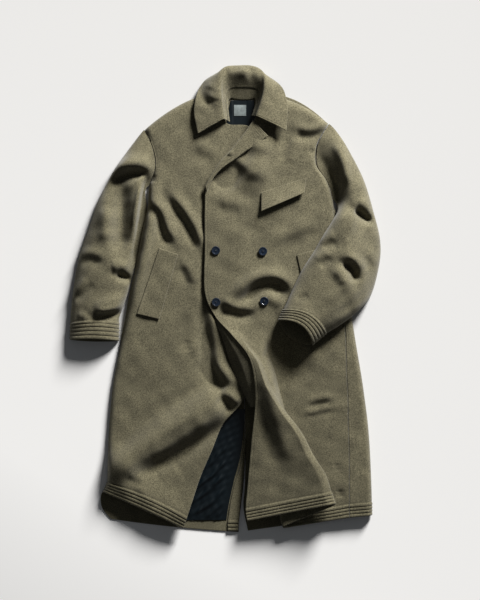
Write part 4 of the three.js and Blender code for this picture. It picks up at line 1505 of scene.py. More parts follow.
# Creases of the right sleeve: the arch at its head, the long hollow down its middle, the deep one
# beside the body and the narrow ridge next to it, the elbow's pit and the crease over which the
# sleeve bags above the cuff
RIGHT_SLEEVE_CREASES = [
    Fold(8.0, 13, [(-304, 346), (-274, 362), (-242, 372), (-212, 374), (-192, 360)]),
    step(20.0, 14, [(-318, 306), (-290, 326), (-258, 340), (-230, 344), (-208, 338), (-199, 312)]),
    Fold(-28.0, 27, [(-266, 330), (-270, 270), (-272, 208), (-269, 150), (-262, 104)]),
    Fold(-34.0, 13, [(-199, 336), (-208, 284), (-216, 232), (-223, 180), (-232, 120), (-240, 66)]),
    Fold(10.0, 6, [(-218, 322), (-226, 276), (-234, 226), (-242, 160)]),
    Fold(8.0, 20, [(-304, 250), (-310, 200), (-308, 150)]),
    Fold(4.0, 18, [(-304, 250), (-316, 200), (-318, 140)]),
    Fold(-20.0, 11, [(-290, 66), (-268, 60), (-248, 50), (-238, 34)]),
    Fold(7.0, 14, [(-300, 84), (-270, 90), (-250, 82)]),
    step(4.0, 12, [(-388, 104), (-352, 114), (-316, 98)]),
    step(4.0, 11, [(-404, 4), (-376, 24), (-350, 54)]),
    Fold(8.0, 13, [(-352, -24), (-318, -12), (-284, -2), (-258, 18)]),
    step(12.0, 9, [(-346, -40), (-312, -36), (-280, -28), (-254, -8)]),
    Fold(4.0, 10, [(-388, -40), (-360, -44)]),
]

# Creases of the left sleeve: the black hollow at the armhole, the lit ridge along the sleeve
# seam, the two pits at the elbow, and soft ones along the forearm
LEFT_SLEEVE_CREASES = [
    Fold(-36.0, 23, [(244, 400), (254, 364), (270, 328), (286, 292), (286, 258), (278, 226)]),
    step(8.0, 14, [(244, 404), (246, 372), (258, 344), (276, 316), (284, 288)]),
    Fold(12.0, 13, [(284, 424), (304, 384), (319, 338), (329, 290)]),
    Fold(5.0, 13, [(334, 290), (340, 230), (322, 160)]),
    Fold(-26.0, 11, [(338, 238), (360, 222), (392, 202)]),
    Fold(7.0, 12, [(346, 262), (370, 252), (392, 236)]),
    Fold(-26.0, 13, [(306, 96), (326, 86), (340, 66), (344, 38)]),
    Fold(7.0, 14, [(286, 82), (306, 60), (316, 36)]),
    Fold(7.0, 13, [(318, 114), (348, 102), (366, 76)]),
    step(4.5, 13, [(250, 140), (272, 152), (296, 160)]),
    step(4.0, 12, [(240, 94), (262, 108), (286, 116)]),
    step(3.0, 12, [(366, 120), (382, 104), (396, 84)]),
    Fold(-3.0, 10, [(186, -2), (224, 10)]),
    Fold(-4.0, 12, [(282, -44), (334, -12), (372, 30)]),
    Fold(3.5, 14, [(250, -10), (300, 20), (340, 60)]),
]


def left_under_z(x: Array, y: Array) -> Array:
    """Returns the height of the left sleeve's under half."""
    edge = BODY_EDGE_X - BODY_EDGE_LEAN * (y - BODY_EDGE_Y)
    inward = smooth((edge + BODY_EDGE_CLIMB - x) / (BODY_EDGE_CLIMB - BODY_EDGE_SHORT))
    over = inward * smooth((ELBOW_Y - y) / ELBOW_EASE)
    return mix(BACK_Z, left_front_base(x, y) + FOREARM_CLEARANCE, over)


def right_under_z(x: Array, y: Array) -> Array:
    """Returns the height of the right sleeve's under half, which lies on the floor."""
    return np.full(np.broadcast(x, y).shape, BACK_Z)


class Side(Enum):
    """The wearer's right or left, as the way that the sleeve's rows run."""

    RIGHT = -1
    LEFT = 1


@dataclass
class Sleeve:
    """A sleeve of two halves with a quilted cuff.

    Attributes:
        side: which sleeve it is.
        table: its sections from the armhole to the cuff.
        hole: the body's table that holds the armhole.
        armpit: the armpit's place in that table.
        hole_names: columns of the armhole's x and y.
        panel_z: height of the front at the armhole.
        under_z: height of the under half.
        creases: its creases.
        uneven: its waviness.
        columns: points across the top half; the under half has half as many.
    """

    side: Side
    table: Sections
    hole: Sections
    armpit: float
    hole_names: tuple[str, str]
    panel_z: Height
    under_z: Height
    creases: Sequence[Fold]
    uneven: Unevenness
    columns: int = 52

    def _head(self, u: Array) -> tuple[Array, Array, Array]:
        """Returns the armhole's points, a seam's gap outside the body."""
        s = self.hole.at(u * self.armpit)
        x, y = s[self.hole_names[0]], s[self.hole_names[1]]
        z = mix(SIDE_SEAM_Z, self.panel_z(x, y), np.clip(s["lift"], 0, 1))
        return x + self.side.value * ARMHOLE_GAP, y, z

    def half(self, top: bool) -> tuple[Array, Array]:
        """Works out one half.

        Args:
            top: whether it is the half that shows.

        Returns:
            Its points and the relief of its face.
        """
        last = self.table.last
        middle = self.table.between("outer", "inner")
        step = STEP if top else COARSE_STEP
        upper = even_rows(0, last - 1, middle, step)
        band = even_rows(last - 1, last, middle, RIB_ROW if top else step)[1:]
        places = np.concatenate([upper, band])
        count = self.columns if top else self.columns // 2
        u = (0.5 - 0.5 * np.cos(np.pi * np.linspace(0, 1, count)))[None, :]
        p = places[:, None]
        s = self.table.columns(places)
        away_x = (s["inner_y"] - s["outer_y"]) * self.side.value
        away_y = (s["outer_x"] - s["inner_x"]) * self.side.value
        length = np.hypot(away_x, away_y)
        bow = (s["top_bow"] if top else s["under_bow"]) * 4 * u * (1 - u)
        head_x, head_y, head_z = self._head(u)
        free = smooth(p / 2)
        x = mix(head_x, mix(s["outer_x"], s["inner_x"], u) + away_x / length * bow, free)
        y = mix(head_y, mix(s["outer_y"], s["inner_y"], u) + away_y / length * bow, free)
        z = self.under_z(x, y)
        relief = np.zeros_like(x)
        if top:
            ledge = np.maximum(z, self.under_z(x, y - SPLIT_STEP))
            profile = np.sqrt(np.maximum(1 - np.abs(2 * u - 1) ** SLEEVE_FULLNESS, 0.0))
            crease = folds_height(self.creases, x, y) + self.uneven.at(x, y)
            rise = s["height"] * profile + crease * np.minimum(profile * SLEEVE_CREASE_EASE, 1)
            creased = ledge + SLEEVE_SPLIT + np.maximum(rise, SLEEVE_LEAST * profile)
            z = mix(head_z + ledge - BACK_Z, creased, free)
            relief = channels(p - (last - 1), CUFF_RIBS) * np.ones_like(u)
        grid = surface(x, y, z)
        return (grid, relief) if self.side is Side.RIGHT else (grid[:, ::-1], relief[:, ::-1])

    def build(self, wardrobe: Wardrobe) -> None:
        """Makes both halves.

        Args:
            wardrobe: the finishes.
        """
        word = self.side.name.lower()
        for top, part in ((True, "top"), (False, "under")):
            name, node = f"{word}_sleeve_{part}", f"sleeve_{word}_{part}"
            sew(name, node, self.half(top), wardrobe.face)


COLLAR = Sections(
    [
        "neck_x", "neck_y", "neck_z", "stand_x", "stand_y", "stand_z", "roll_x", "roll_y", "roll_z",
        "edge_x", "edge_y", "edge_z", "tuck",
    ],
    [
        [14, 469, 11, 9, 472, 17, -2, 474, 33, -70, 437, 28, 0],
        [10, 503, 11, 5, 505, 17, -7, 507, 35, -80, 490, 27, 0],
        [10, 524, 8, 3, 532, 16, -10, 542, 36, -76, 530, 24, 0],
        [16, 533, 6, 7, 547, 15, -12, 574, 36, -66, 560, 14, 0],
        [22, 532, 4.5, 15, 556, 14, -8, 600, 35, -44, 585, 7, 0.2],
        [32, 530, 4.3, 26, 560, 14.5, 6, 614, 33, -6, 598, 3, 0.7],
        [42, 529, 4.3, 38, 560, 15, 34, 617, 32, 34, 588, 1.5, 1],
        [58, 529, 4.3, 64, 560, 15, 68, 617, 32, 68, 588, 1.5, 1],
        [70, 530, 4.3, 78, 558, 14.5, 92, 608, 33, 98, 596, 3, 0.7],
        [78, 533, 5.5, 88, 554, 14, 105, 588, 36, 130, 580, 9, 0.2],
        [82, 528, 7, 93, 543, 16, 106, 562, 38, 153, 558, 20, 0],
        [82, 518, 10, 91, 526, 19, 102, 536, 39, 163, 530, 28, 0],
        [78, 503, 12, 86, 506, 20, 95, 514, 39, 167, 500, 32, 0],
        [72, 485, 12, 78, 484, 20, 84, 482, 38, 163, 444, 38, 0],
    ],
)
COLLAR_OVER_STAND = 1.6
COLLAR_UNEVEN = Unevenness(0.4, 40, 5)

# The leaf's shape from the stand over the roll to its edge, where it is turned down and where it
# is tucked in: the share of the roll's height, and how far the two middle points lie from it
TUCKED_ROLL = 0.55
RISING = (0.4, 0.3)
FALLING = (0.35, 0.45)
FALLING_RISE = 0.3
FALLING_LIFT = 1.5

# The share across from which the leaf lies outside, and how much its creases show inside
LEAF_START = 0.3
LEAF_EASE = 0.25
INSIDE_SHARE = 0.8

# Creases of the collar: the hollow and the step in the left-hand wing, and the three folds
# behind the neck
COLLAR_CREASES = [
    Fold(-4.5, 11, [(-36, 566), (-44, 534), (-34, 506)]),
    Fold(3.0, 12, [(-16, 560), (-20, 520)]),
    Fold(-5.0, 9, [(0, 612), (6, 588), (10, 566)]),
    step(5.0, 9, [(66, 566), (62, 590), (62, 614)]),
    Fold(5.0, 13, [(40, 606), (44, 584)]),
    step(5.0, 12, [(-40, 580), (-50, 548), (-38, 512)]),
]


def eased_line(points: Array, count: int) -> Array:
    """Runs a smooth line through points, easing by the spacing between them.

    Args:
        points: the points, in order.
        count: number of steps along the line.

    Returns:
        count + 1 points, spread by span.
    """
    last = len(points) - 1
    before = 2 * points[0] - points[1]
    after = 2 * points[-1] - points[-2]
    knots = np.concatenate([[before], points, [after]])
    out = []
    for n in range(count + 1):
        place = last * n / count
        k = min(int(place), last - 1)
        f = place - k
        p0, p1, p2, p3 = knots[k : k + 4]
        gaps = [max(np.sum((b - a) ** 2) ** 0.25, 1e-4) for a, b in ((p0, p1), (p1, p2), (p2, p3))]
        g0, g1, g2 = gaps
        slope1 = ((p1 - p0) / g0 - (p2 - p0) / (g0 + g1) + (p2 - p1) / g1) * g1
        slope2 = ((p2 - p1) / g1 - (p3 - p1) / (g1 + g2) + (p3 - p2) / g2) * g1
        bend = -3 * p1 + 3 * p2 - 2 * slope1 - slope2
        twist = 2 * p1 - 2 * p2 + slope1 + slope2
        out.append(p1 + f * (slope1 + f * (bend + f * twist)))
    return np.array(out)


@dataclass
class Collar:
    """The turned-down collar and the stand that carries it.

    Attributes:
        stations: sections round the neck.
        across: steps across the leaf.
    """

    stations: int = 190
    across: int = 44

    def _section(self, place: float) -> Array:
        """Returns the leaf's section at a place round the neck, from the stand to its edge."""
        s = COLLAR.at(place)
        tuck = float(np.clip(s["tuck"], 0, 1))
        stand = np.array([s["stand_x"], s["stand_y"], s["stand_z"] + COLLAR_OVER_STAND])
        roll = np.array([s["roll_x"], s["roll_y"], mix(s["roll_z"], TUCKED_ROLL * s["roll_z"], tuck)])
        edge = np.array([s["edge_x"], s["edge_y"], s["edge_z"]])
        rising = mix(roll, stand, mix(*RISING, tuck))
        rising[2] = mix(mix(s["roll_z"], stand[2], RISING[0]), s["roll_z"], tuck)
        falling = mix(roll, edge, mix(*FALLING, tuck))
        outside = mix(s["roll_z"], s["edge_z"], FALLING_RISE) + FALLING_LIFT
        falling[2] = mix(outside, s["edge_z"] + FALLING_LIFT, tuck)
        return eased_line(np.array([stand, rising, roll, falling, edge]), self.across)

    def build(self, wardrobe: Wardrobe) -> None:
        """Makes the collar and its stand.

        Args:
            wardrobe: the finishes.
        """
        ends = np.array(NEAR_EDGE[:8])
        places = np.linspace(0, COLLAR.last, self.stations)
        edge_line = np.array([self._section(float(p)) for p in places])[:, -1]
        steps = np.linalg.norm(np.diff(edge_line, axis=0), axis=-1)
        travelled = np.concatenate([[0.0], np.cumsum(steps)])
        even = np.linspace(ends[-1] + 2, travelled[-1] - ends[-1] - 2, self.stations)
        wanted = np.concatenate([ends, even, travelled[-1] - ends[::-1]])
        places = np.interp(wanted, travelled, places)
        grid = np.array([self._section(float(p)) for p in places])
        x, y = grid[..., 0], grid[..., 1]
        lift = folds_height(COLLAR_CREASES, x, y) + COLLAR_UNEVEN.at(x, y)
        shares = np.linspace(0, 1, self.across + 1)
        leaf = smooth((shares - LEAF_START) / LEAF_EASE)[None, :]
        tuck = np.clip(COLLAR.at(places)["tuck"], 0, 1)[:, None]
        inside = tuck * smooth(shares * 3)[None, :]
        grid[..., 2] += lift * np.maximum(leaf * (1 - tuck), inside * (1 - leaf) * INSIDE_SHARE)
        lengths = np.linalg.norm(np.diff(grid, axis=1), axis=-1)
        to_edge = lengths[:, ::-1].cumsum(axis=1)[:, ::-1]
        from_edge = np.concatenate([to_edge, np.zeros((len(grid), 1))], axis=1)
        from_ends = np.minimum(wanted, travelled[-1] - wanted)[:, None]
        relief = groove(from_edge, STITCH_IN) * smooth((from_ends - STITCH_IN) / 2 + 1)
        relief = relief + groove(from_ends, STITCH_IN) * smooth((from_edge - STITCH_IN) / 2 + 1) * leaf
        sew("collar_leaf", "collar", (grid, relief), wardrobe.face)
        s = COLLAR.columns(places[::2])
        v = np.linspace(0, 1, 9)[None, :]
        stand = surface(*(mix(s[f"neck_{axis}"], s[f"stand_{axis}"], v) for axis in "xyz"))
        sew("collar_band", "collar_stand", (stand, 0.0), wardrobe.face)


LAPEL = Sections(
    ["fold_x", "fold_y", "free_x", "free_y"],
    [
        [78, 473, 115, 431],
        [60, 447, 92, 415],
        [41, 421, 62, 394],
        [17, 393, 30, 370],
        [-9, 363, -4, 347],
        [-32, 328, -30, 318],
        [-48, 299, -46, 283],
    ],
)
LAPEL_LIFT = 4.4
LAPEL_FREE_LIFT = 6.5
LAPEL_SET_BACK = 2.0
BUTTONHOLE = ((83.0, 443.0), (93.0, 431.0))

# Stitching along the lapel's short end: two distances, and the grooves' depth and width
LAPEL_END_STITCHES = (4.0, 11.0)
LAPEL_END_GROOVE = (0.6, 0.9)


@dataclass
class Lapel:
    """The over panel's lapel, turned back over the chest."""

    step: float = 2.2
    columns: int = 26

    def build(self, wardrobe: Wardrobe) -> None:
        """Makes the lapel.

        Args:
            wardrobe: the finishes.
        """
        places = even_rows(0, LAPEL.last, LAPEL.between("fold", "fold"), self.step)
        fine = np.interp(np.linspace(0, 12, 14)[1:-1], [0, 12], [places[0], places[6]])
        s = LAPEL.columns(np.unique(np.concatenate([places, fine])))
        width = np.hypot(s["free_x"] - s["fold_x"], s["free_y"] - s["fold_y"])
        u = np.linspace(0, 1, self.columns)[None, :] ** 0.9
        x = mix(s["fold_x"] - LAPEL_SET_BACK, s["free_x"], u)
        y = mix(s["fold_y"], s["free_y"], u)
        lift = mix(LAPEL_LIFT - 1, LAPEL_FREE_LIFT, quarter_round(u * 3) * mix(0.6, 1.0, u))
        from_end = self._from_end(x, y)
        relief = groove((1 - u) * width, STITCH_IN, 0.5)
        for place in LAPEL_END_STITCHES:
            relief = relief + groove(from_end, place, *LAPEL_END_GROOVE)
        relief = relief + self._buttonhole(x, y)
        cloth = surface(x, y, LEFT_FRONT_Z + lift), relief
        sew("lapel_leaf", "lapel_left", cloth, wardrobe.face)

    def _from_end(self, x: Array, y: Array) -> Array:
        """Returns the distance from the lapel's short end."""
        s = LAPEL.at(0.0)
        ax, ay, bx, by = (float(s[name]) for name in ("fold_x", "fold_y", "free_x", "free_y"))
        length = math.hypot(bx - ax, by - ay)
        return np.abs((x - ax) * (by - ay) - (y - ay) * (bx - ax)) / length

    def _buttonhole(self, x: Array, y: Array) -> Array:
        """Returns the relief of the worked buttonhole: a slit between two raised lips."""
        slit = Fold(-1.6, 0.9, BUTTONHOLE, tapered=False).height(x, y)
        lips = Fold(0.9, 2.4, BUTTONHOLE, tapered=False).height(x, y)
        return slit + lips


FACING = Sections(
    ["place", "x", "y", "drop"],
    [
        [9.1, -27, -52, 3],
        [9.6, -12, -84, 9],
        [10.2, 2, -124, 19],
        [10.9, 15, -166, 29],
        [11.6, 34, -210, 31],
        [12.3, 55, -256, 25],
        [12.9, 70, -284, 13],
    ],
)
FACING_TUCK = 18.0
FACING_TUCK_Y = 6.0
FACING_TUCK_DROP = 3.0
FACING_AIR = 1.2


@dataclass
class Facing:
    """The front facing, where it shows beside the lifted edge of the over panel, in the darker wool that
    paints in the shade falling on it.
    """

    rows: int = 80
    columns: int = 8

    def build(self, wardrobe: Wardrobe) -> None:
        """Makes the facing.

        Args:
            wardrobe: the finishes.
        """
        f = FACING.at(np.linspace(0, FACING.last, self.rows))
        s = LEFT.at(f["place"])
        x, y = s["front_x"], s["front_y"]
        z = left_front_z(x, y) + s["front_rise"] - LAYER_STEP - FACING_AIR
        drop = f["drop"]
        lines = [
            (f["x"], f["y"], z - drop),
            (mix(f["x"], x + 1, 0.5), mix(f["y"], y, 0.5), z - 0.3 * drop),
            (x + 1, y, z),
            (x + FACING_TUCK, y - FACING_TUCK_Y, z - FACING_TUCK_DROP),
        ]
        spine = np.stack([np.stack(line, -1) for line in lines], axis=1)
        share = np.linspace(0, 3, 3 * self.columns + 1)
        rows = [[np.interp(share, range(4), row[:, axis]) for axis in range(3)] for row in spine]
        grid = np.array(rows).transpose(0, 2, 1)
        # The facing takes the darker wool: painted shade.
        sew("front_facing", "facing_left", (grid, 0.0), wardrobe.shaded)


LINING_AIR = 0.1
LINING_Z = MELTON + SEAM_GAP + SATIN / 2 + LINING_AIR
LINING_BACK = Sections(
    ["left_x", "left_y", "right_x", "right_y"],
    [
        [-40, -290, 54, -290],
        [-80, -350, 50, -350],
        [-112, -415, 42, -415],
        [-135, -480, 25, -480],
        [-150, -540, 11, -544],
        [-150, -584, 5, -584],
    ],
)
NECK_LINING = Sections(
    ["left_x", "right_x", "y"],
    [[16, 78, 527], [12, 80, 505], [8, 84, 480], [2, 92, 450]],
)

# Ripples of the satin: long slanting folds that run from lower left to upper right
LINING_FOLDS = [
    Fold(4.5, 5, [(-96, -512), (-60, -486), (-20, -452), (14, -412)]),
    Fold(3.5, 5, [(-100, -544), (-62, -520), (-24, -488), (10, -452)]),
    Fold(4.0, 6, [(-90, -572), (-56, -552), (-20, -522), (6, -486)]),
    Fold(3.0, 5, [(-58, -452), (-24, -420), (14, -378)]),
    Fold(3.0, 5, [(-60, -582), (-28, -560), (2, -524)]),
    Fold(2.6, 4, [(-40, -500), (-12, -470), (10, -440)]),
    Fold(2.4, 4, [(-22, -580), (-6, -556), (6, -528)]),
]


SATIN_UNEVEN = Unevenness(0.7, 22, 41)
NECK_UNEVEN = Unevenness(0.5, 16, 8)


@dataclass
class Lining:
    """The satin where it shows: in the open front and at the neck.

    Attributes:
        rows: rows of the piece in the open front.
        columns: its columns.
        neck_steps: rows and columns of the piece at the neck.
    """

    rows: int = 130
    columns: int = 70
    neck_steps: int = 40

    def build(self, wardrobe: Wardrobe) -> None:
        """Makes both stretches of lining.

        Args:
            wardrobe: the finishes.
        """
        p = np.linspace(0, LINING_BACK.last, self.rows)
        s = LINING_BACK.columns(p)
        u = np.linspace(0, 1, self.columns)[None, :]
        x = mix(s["left_x"], s["right_x"], u)
        y = mix(s["left_y"], s["right_y"], u)
        fade = smooth((1 - u) * 6) * smooth(u * 4) * smooth(p[:, None] * 2)
        fine = SATIN_UNEVEN.at(0.5 * (x + y), 1.4 * (x - y)) + 0.9
        z = LINING_Z + (folds_height(LINING_FOLDS, x, y) + fine) * fade
        cloth = surface(x, y, z), 0.0
        satin = wardrobe.satin
        sew("lining_open_front", "lining_back", cloth, satin, SATIN, "satin")
        s = NECK_LINING.columns(np.linspace(0, NECK_LINING.last, self.neck_steps))
        u = np.linspace(0, 1, self.neck_steps)[None, :]
        x = mix(s["left_x"], s["right_x"], u)
        y = s["y"] + 0 * x
        beside_label = smooth((np.abs(x - sum(LABEL_X) / 2) - 17) / 6)
        z = LINING_Z + 0.8 * beside_label * (0.6 + NECK_UNEVEN.at(x, 0.3 * y))
        cloth = surface(x, y, z), 0.0
        sew("lining_neck_piece", "lining_neck", cloth, satin, SATIN, "satin")


@dataclass
class NeckLabel:
    """The bare woven label sewn on the neck lining."""

    columns: int = 24
    pillow: float = 0.7

    def build(self, wardrobe: Wardrobe) -> None:
        """Makes the label.

        Args:
            wardrobe: the finishes.
        """
        u = np.linspace(0, 1, self.columns)[None, :]
        v = np.linspace(0, 1, self.columns)[:, None]
        x = mix(*LABEL_X, u)
        y = mix(LABEL_Y[1], LABEL_Y[0], v)
        base = LINING_Z + SATIN / 2 + SEAM_GAP + LABEL_THICKNESS / 2
        z = base + self.pillow * np.sin(np.pi * u) * np.sin(np.pi * v)
        from_sides = np.minimum(x - LABEL_X[0], LABEL_X[1] - x)
        from_ends = np.minimum(y - LABEL_Y[0], LABEL_Y[1] - y)
        relief = groove(np.minimum(from_sides, from_ends), 2.0, 0.25, 0.8)
        cloth, lining = (surface(x, y, z), relief), ["lining_neck"]
        sew("label_piece", "label", cloth, wardrobe.label, LABEL_THICKNESS, "label")


VENT_CLEARANCE = 1.5
VENT_SWELL = 0.5
VENT_BAND_Y = -584.0
VENT_BAND = 30.0
VENT_RIBS = 3
VENT = Sections(
    ["left_x", "right_x", "y"],
    [[50, 57, -370], [42, 53.5, -432], [25, 49, -489], [13, 43, -544], [7, 38, -590], [7, 36, -612]],
)


@dataclass
class VentFacing:
    """The turned strip along the back's open vent."""

    rows: int = 110
    columns: int = 14

    def build(self, wardrobe: Wardrobe) -> None:
        """Makes the strip.

        Args:
            wardrobe: the finishes.
        """
        p = np.linspace(0, VENT.last, self.rows)
        s = VENT.columns(p)
        u = np.linspace(0, 1, self.columns)[None, :]
        x = mix(s["left_x"] + VENT_CLEARANCE, s["right_x"], u)
        y = s["y"] + 0 * x
        z = BACK_Z + LAYER_STEP + VENT_SWELL * np.sin(np.pi * u)
        relief = channels((VENT_BAND_Y - y) / VENT_BAND, VENT_RIBS) * (y < VENT_BAND_Y)
        cloth = surface(x, y, z), relief
        sew("vent_strip", "vent_facing", cloth, wardrobe.face)


WELT_LIFT = 0.6
WELT_STITCH = (5.0, 0.5, 1.1)


@dataclass
class Welt:
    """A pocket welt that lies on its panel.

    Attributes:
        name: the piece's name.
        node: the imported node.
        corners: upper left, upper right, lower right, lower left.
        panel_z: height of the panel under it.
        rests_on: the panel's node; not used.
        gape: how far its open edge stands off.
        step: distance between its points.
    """

    name: str
    node: str
    corners: Path
    panel_z: Height
    rests_on: str
    gape: float = 1.5
    step: float = 2.0

    def build(self, wardrobe: Wardrobe) -> None:
        """Makes the welt.

        Args:
            wardrobe: the finishes.
        """
        tl, tr, br, bl = (np.array(corner) for corner in self.corners)
        across = np.linalg.norm(tr - tl)
        down = np.linalg.norm(bl - tl)
        u = np.linspace(0, 1, int(across / self.step) + 1)[None, :]
        v = np.linspace(0, 1, int(down / self.step) + 1)[:, None]
        xy = mix(mix(tl, tr, u[..., None]), mix(bl, br, u[..., None]), v[..., None])
        x, y = xy[..., 0], xy[..., 1]
        open_edge = v**1.5 * (0.35 + 0.65 * np.sin(np.pi * (0.15 + 0.7 * u)))
        z = self.panel_z(x, y) + LAYER_STEP + WELT_LIFT + self.gape * open_edge
        edge = np.minimum(np.minimum(u, 1 - u) * across, np.minimum(v, 1 - v) * down)
        cloth = surface(x, y, z), groove(edge, *WELT_STITCH)
        sew(self.name, self.node, cloth, wardrobe.face)


@dataclass
class Buttons:
    """The four buttons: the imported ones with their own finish, and the thread in their holes.

    Attributes:
        names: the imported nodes.
        spacing: distance between neighbouring holes.
        thread: thickness of the thread.
        dish: how deep the middle of a button is sunk.
        sunk: how far the thread's ends lie below that.
        arch: how high the thread rises between its ends.
        steps: rings along a stitch.
        sides: points round each ring.
    """

    names: tuple[str, ...] = ("button_1", "button_2", "button_3", "button_4")
    spacing: float = 4.4
    thread: float = 0.9
    dish: float = 0.9
    sunk: float = 0.9
    arch: float = 1.1
    steps: int = 12
    sides: int = 8

    def build(self, wardrobe: Wardrobe) -> None:
        """Dresses the buttons.

        Args:
            wardrobe: the finishes.
        """
        for name in self.names:
            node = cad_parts[name]
            node.data.materials.clear()
            node.data.materials.append(wardrobe.horn)
            self._sew_on(name, wardrobe)
            log.info("%s: polished", name)

    def _sew_on(self, name: str, wardrobe: Wardrobe) -> None:
        """Makes the crossed threads of one button.

        Args:
            name: the button's node.
            wardrobe: the finishes.
        """
        low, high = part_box(name)
        centre = np.array([(low.x + high.x) / 2, (low.y + high.y) / 2, high.z]) / MM
        centre -= np.array([SHIFT_X, SHIFT_Y, self.dish + self.sunk])
        reach = self.spacing / math.sqrt(2)
        upward = np.array([0.0, 0.0, 1.0])
        points, faces = [], []
        for turn in (math.pi / 4, -math.pi / 4):
            along = np.array([math.cos(turn), math.sin(turn), 0.0])
            beside = np.array([-math.sin(turn), math.cos(turn), 0.0])
            start = len(points)
            for share in np.linspace(-1, 1, self.steps + 1):
                middle = centre + along * share * reach + upward * self.arch * (1 - share**4)
                for m in range(self.sides):
                    angle = 2 * math.pi * m / self.sides
                    ring = beside * math.cos(angle) + upward * math.sin(angle)
                    points.append(middle + ring * self.thread / 2)
            for k in range(self.steps):
                for m in range(self.sides):
                    a = start + k * self.sides + m
                    b = start + k * self.sides + (m + 1) % self.sides
                    faces.append((a, b, b + self.sides, a + self.sides))
        mesh = new_mesh(f"{name}_thread", np.array(points), np.array(faces), wardrobe.button_thread)
        add_piece(mesh)


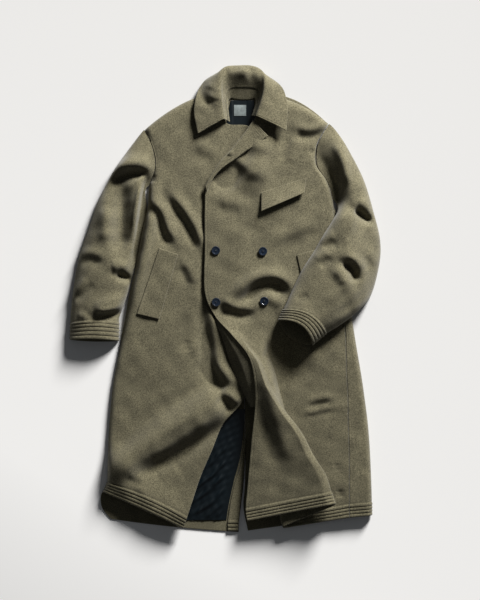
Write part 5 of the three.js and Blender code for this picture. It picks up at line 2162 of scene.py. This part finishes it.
@dataclass
class Studio:
    """The pale floor, the soft lights and the camera over the middle of the picture.

    Attributes:
        view_height: how high the camera stands, in metres.
        view_centre: the point it looks at, in the cutter's millimetres.
        picture_height: how much floor the picture shows from top to bottom, in metres.
        sensor: width of the camera's sensor, in millimetres.
        key_turn: degrees from the picture's top round to the key light.
        key_elevation: how high the key light stands, in degrees.
        key_distance: how far off it stands, in metres.
        key_size: its width, in metres.
        key_power: its power, in watts.
        key_aim: the point on the floor that it is aimed at, in metres.
        fill: strength of the light from all round.
        floor_tone: brightness of the floor in the picture.
        floor_half: half the floor's width, in metres.
        floor_drop: how far it lies below the coat, in metres.
    """

    view_height: float = 5.0
    view_centre: tuple[float, float] = (41.0, -1.3)
    picture_height: float = 1.59
    sensor: float = 36.0
    key_turn: float = 30.0
    key_elevation: float = 23.5
    key_distance: float = 4.2
    key_size: float = 1.3
    key_power: float = 560.0
    key_aim: tuple[float, float] = (0.05, 0.1)
    fill: float = 0.07
    floor_tone: float = 0.875
    floor_half: float = 6.0
    floor_drop: float = 0.0003

    def build(self) -> None:
        """Sets up floor, lights and camera."""
        self._floor()
        self._key()
        self._surroundings()
        self._camera()
        view = bpy.context.scene.view_settings
        view.view_transform = "Standard"
        view.look = "None"

    def _floor(self) -> None:
        """Makes the pale floor, its colour painted darker where the key light falls strongest and lighter
        where less of it falls, so that the floor shows evenly bright.
        """
        mesh = bpy.data.meshes.new("studio_floor")
        corners = ((-1, -1), (1, -1), (1, 1), (-1, 1))
        half, low = self.floor_half, -self.floor_drop
        mesh.from_pydata([(half * x, half * y, low) for x, y in corners], [], [(0, 1, 2, 3)])
        kit = NodeKit("floor_paint")
        lamp = self._key_place()
        # Painted light: the floor's colour is the wanted tone divided by the light that reaches it from
        # the key and from all round.
        faded = kit.calculate("POWER", kit.distance_from(tuple(lamp)), -3.0)
        received = kit.calculate("MULTIPLY", faded, self.key_power * lamp.z / math.pi**2)
        lit = kit.calculate("ADD", received, self.fill)
        paint = kit.calculate("DIVIDE", lit, self.floor_tone, swapped=True)
        kit.shade(kit.mix_colours(paint, (0.0,) * 3, (1.0,) * 3), roughness=1.0, specular=0.0)
        mesh.materials.append(kit.material)
        floor = bpy.data.objects.new("studio_floor", mesh)
        bpy.context.scene.collection.objects.link(floor)

    def _key_way(self) -> Vector:
        """Returns the direction from the coat to the key light."""
        turn, rise = math.radians(self.key_turn), math.radians(self.key_elevation)
        return Vector((math.sin(turn) * math.cos(rise), math.cos(turn) * math.cos(rise), math.sin(rise)))

    def _key_place(self) -> Vector:
        """Returns the place of the key light."""
        return Vector((*self.key_aim, 0.0)) + self._key_way() * self.key_distance

    def _key(self) -> None:
        """Makes the key light, from the upper right of the picture."""
        data = bpy.data.lights.new("key_light", "AREA")
        data.shape = "DISK"
        data.size = self.key_size
        data.energy = self.key_power
        data.color = (1.0, 0.985, 0.96)
        lamp = bpy.data.objects.new("key_light", data)
        lamp.location = self._key_place()
        lamp.rotation_mode = "QUATERNION"
        lamp.rotation_quaternion = (-self._key_way()).to_track_quat("-Z", "Y")
        bpy.context.scene.collection.objects.link(lamp)

    def _surroundings(self) -> None:
        """Lights the scene evenly from all round."""
        world = bpy.data.worlds.new("studio_air")
        world.use_nodes = True
        world.node_tree.nodes["Background"].inputs["Color"].default_value = (0.93, 0.965, 1.0, 1.0)
        world.node_tree.nodes["Background"].inputs["Strength"].default_value = self.fill
        bpy.context.scene.world = world

    def _camera(self) -> None:
        """Makes the camera, straight above the coat."""
        data = bpy.data.cameras.new("overhead_camera")
        data.sensor_width = self.sensor
        data.lens = self.sensor * self.view_height / self.picture_height
        data.clip_end = 50.0
        camera = bpy.data.objects.new("overhead_camera", data)
        x, y = self.view_centre
        camera.location = ((x + SHIFT_X) * MM, (y + SHIFT_Y) * MM, self.view_height)
        bpy.context.scene.collection.objects.link(camera)
        bpy.context.scene.camera = camera


def main() -> None:
    """Makes the coat piece by piece, then the studio round it."""
    logging.basicConfig(level=logging.INFO, format="%(name)s: %(message)s")
    wardrobe = Wardrobe()
    parts = [
        Back(),
        Lining(),
        NeckLabel(),
        VentFacing(),
        RightFront(),
        LeftFront(),
        Facing(),
        Lapel(),
        Sleeve(
            Side.RIGHT, SLEEVE_RIGHT, RIGHT, RIGHT_ARMPIT, ("side_x", "side_y"),
            right_front_base, right_under_z, RIGHT_SLEEVE_CREASES, Unevenness(0.8, 60, 31),
        ),
        Sleeve(
            Side.LEFT, SLEEVE_LEFT, LEFT, LEFT_ARMPIT, ("seam_x", "seam_y"),
            left_front_base, left_under_z, LEFT_SLEEVE_CREASES, Unevenness(0.8, 60, 37),
        ),
        Collar(),
        Welt(
            "pocket_welt_right", "welt_right",
            [(-172, 136), (-123, 119), (-172, -52), (-231, -38)], right_front_z, "front_right",
        ),
        Welt(
            "pocket_welt_left", "welt_left",
            [(191, 118), (238, 131), (286, -38), (228, -52)], left_front_z, "front_left",
        ),
        Welt(
            "chest_welt", "welt_chest",
            [(97, 282), (216, 322), (211, 281), (97, 232)], left_front_z, "front_left", gape=13.0,
        ),
        Buttons(),
    ]
    for part in parts:
        part.build(wardrobe)
    Studio().build()


if __name__ == "__main__":
    main()
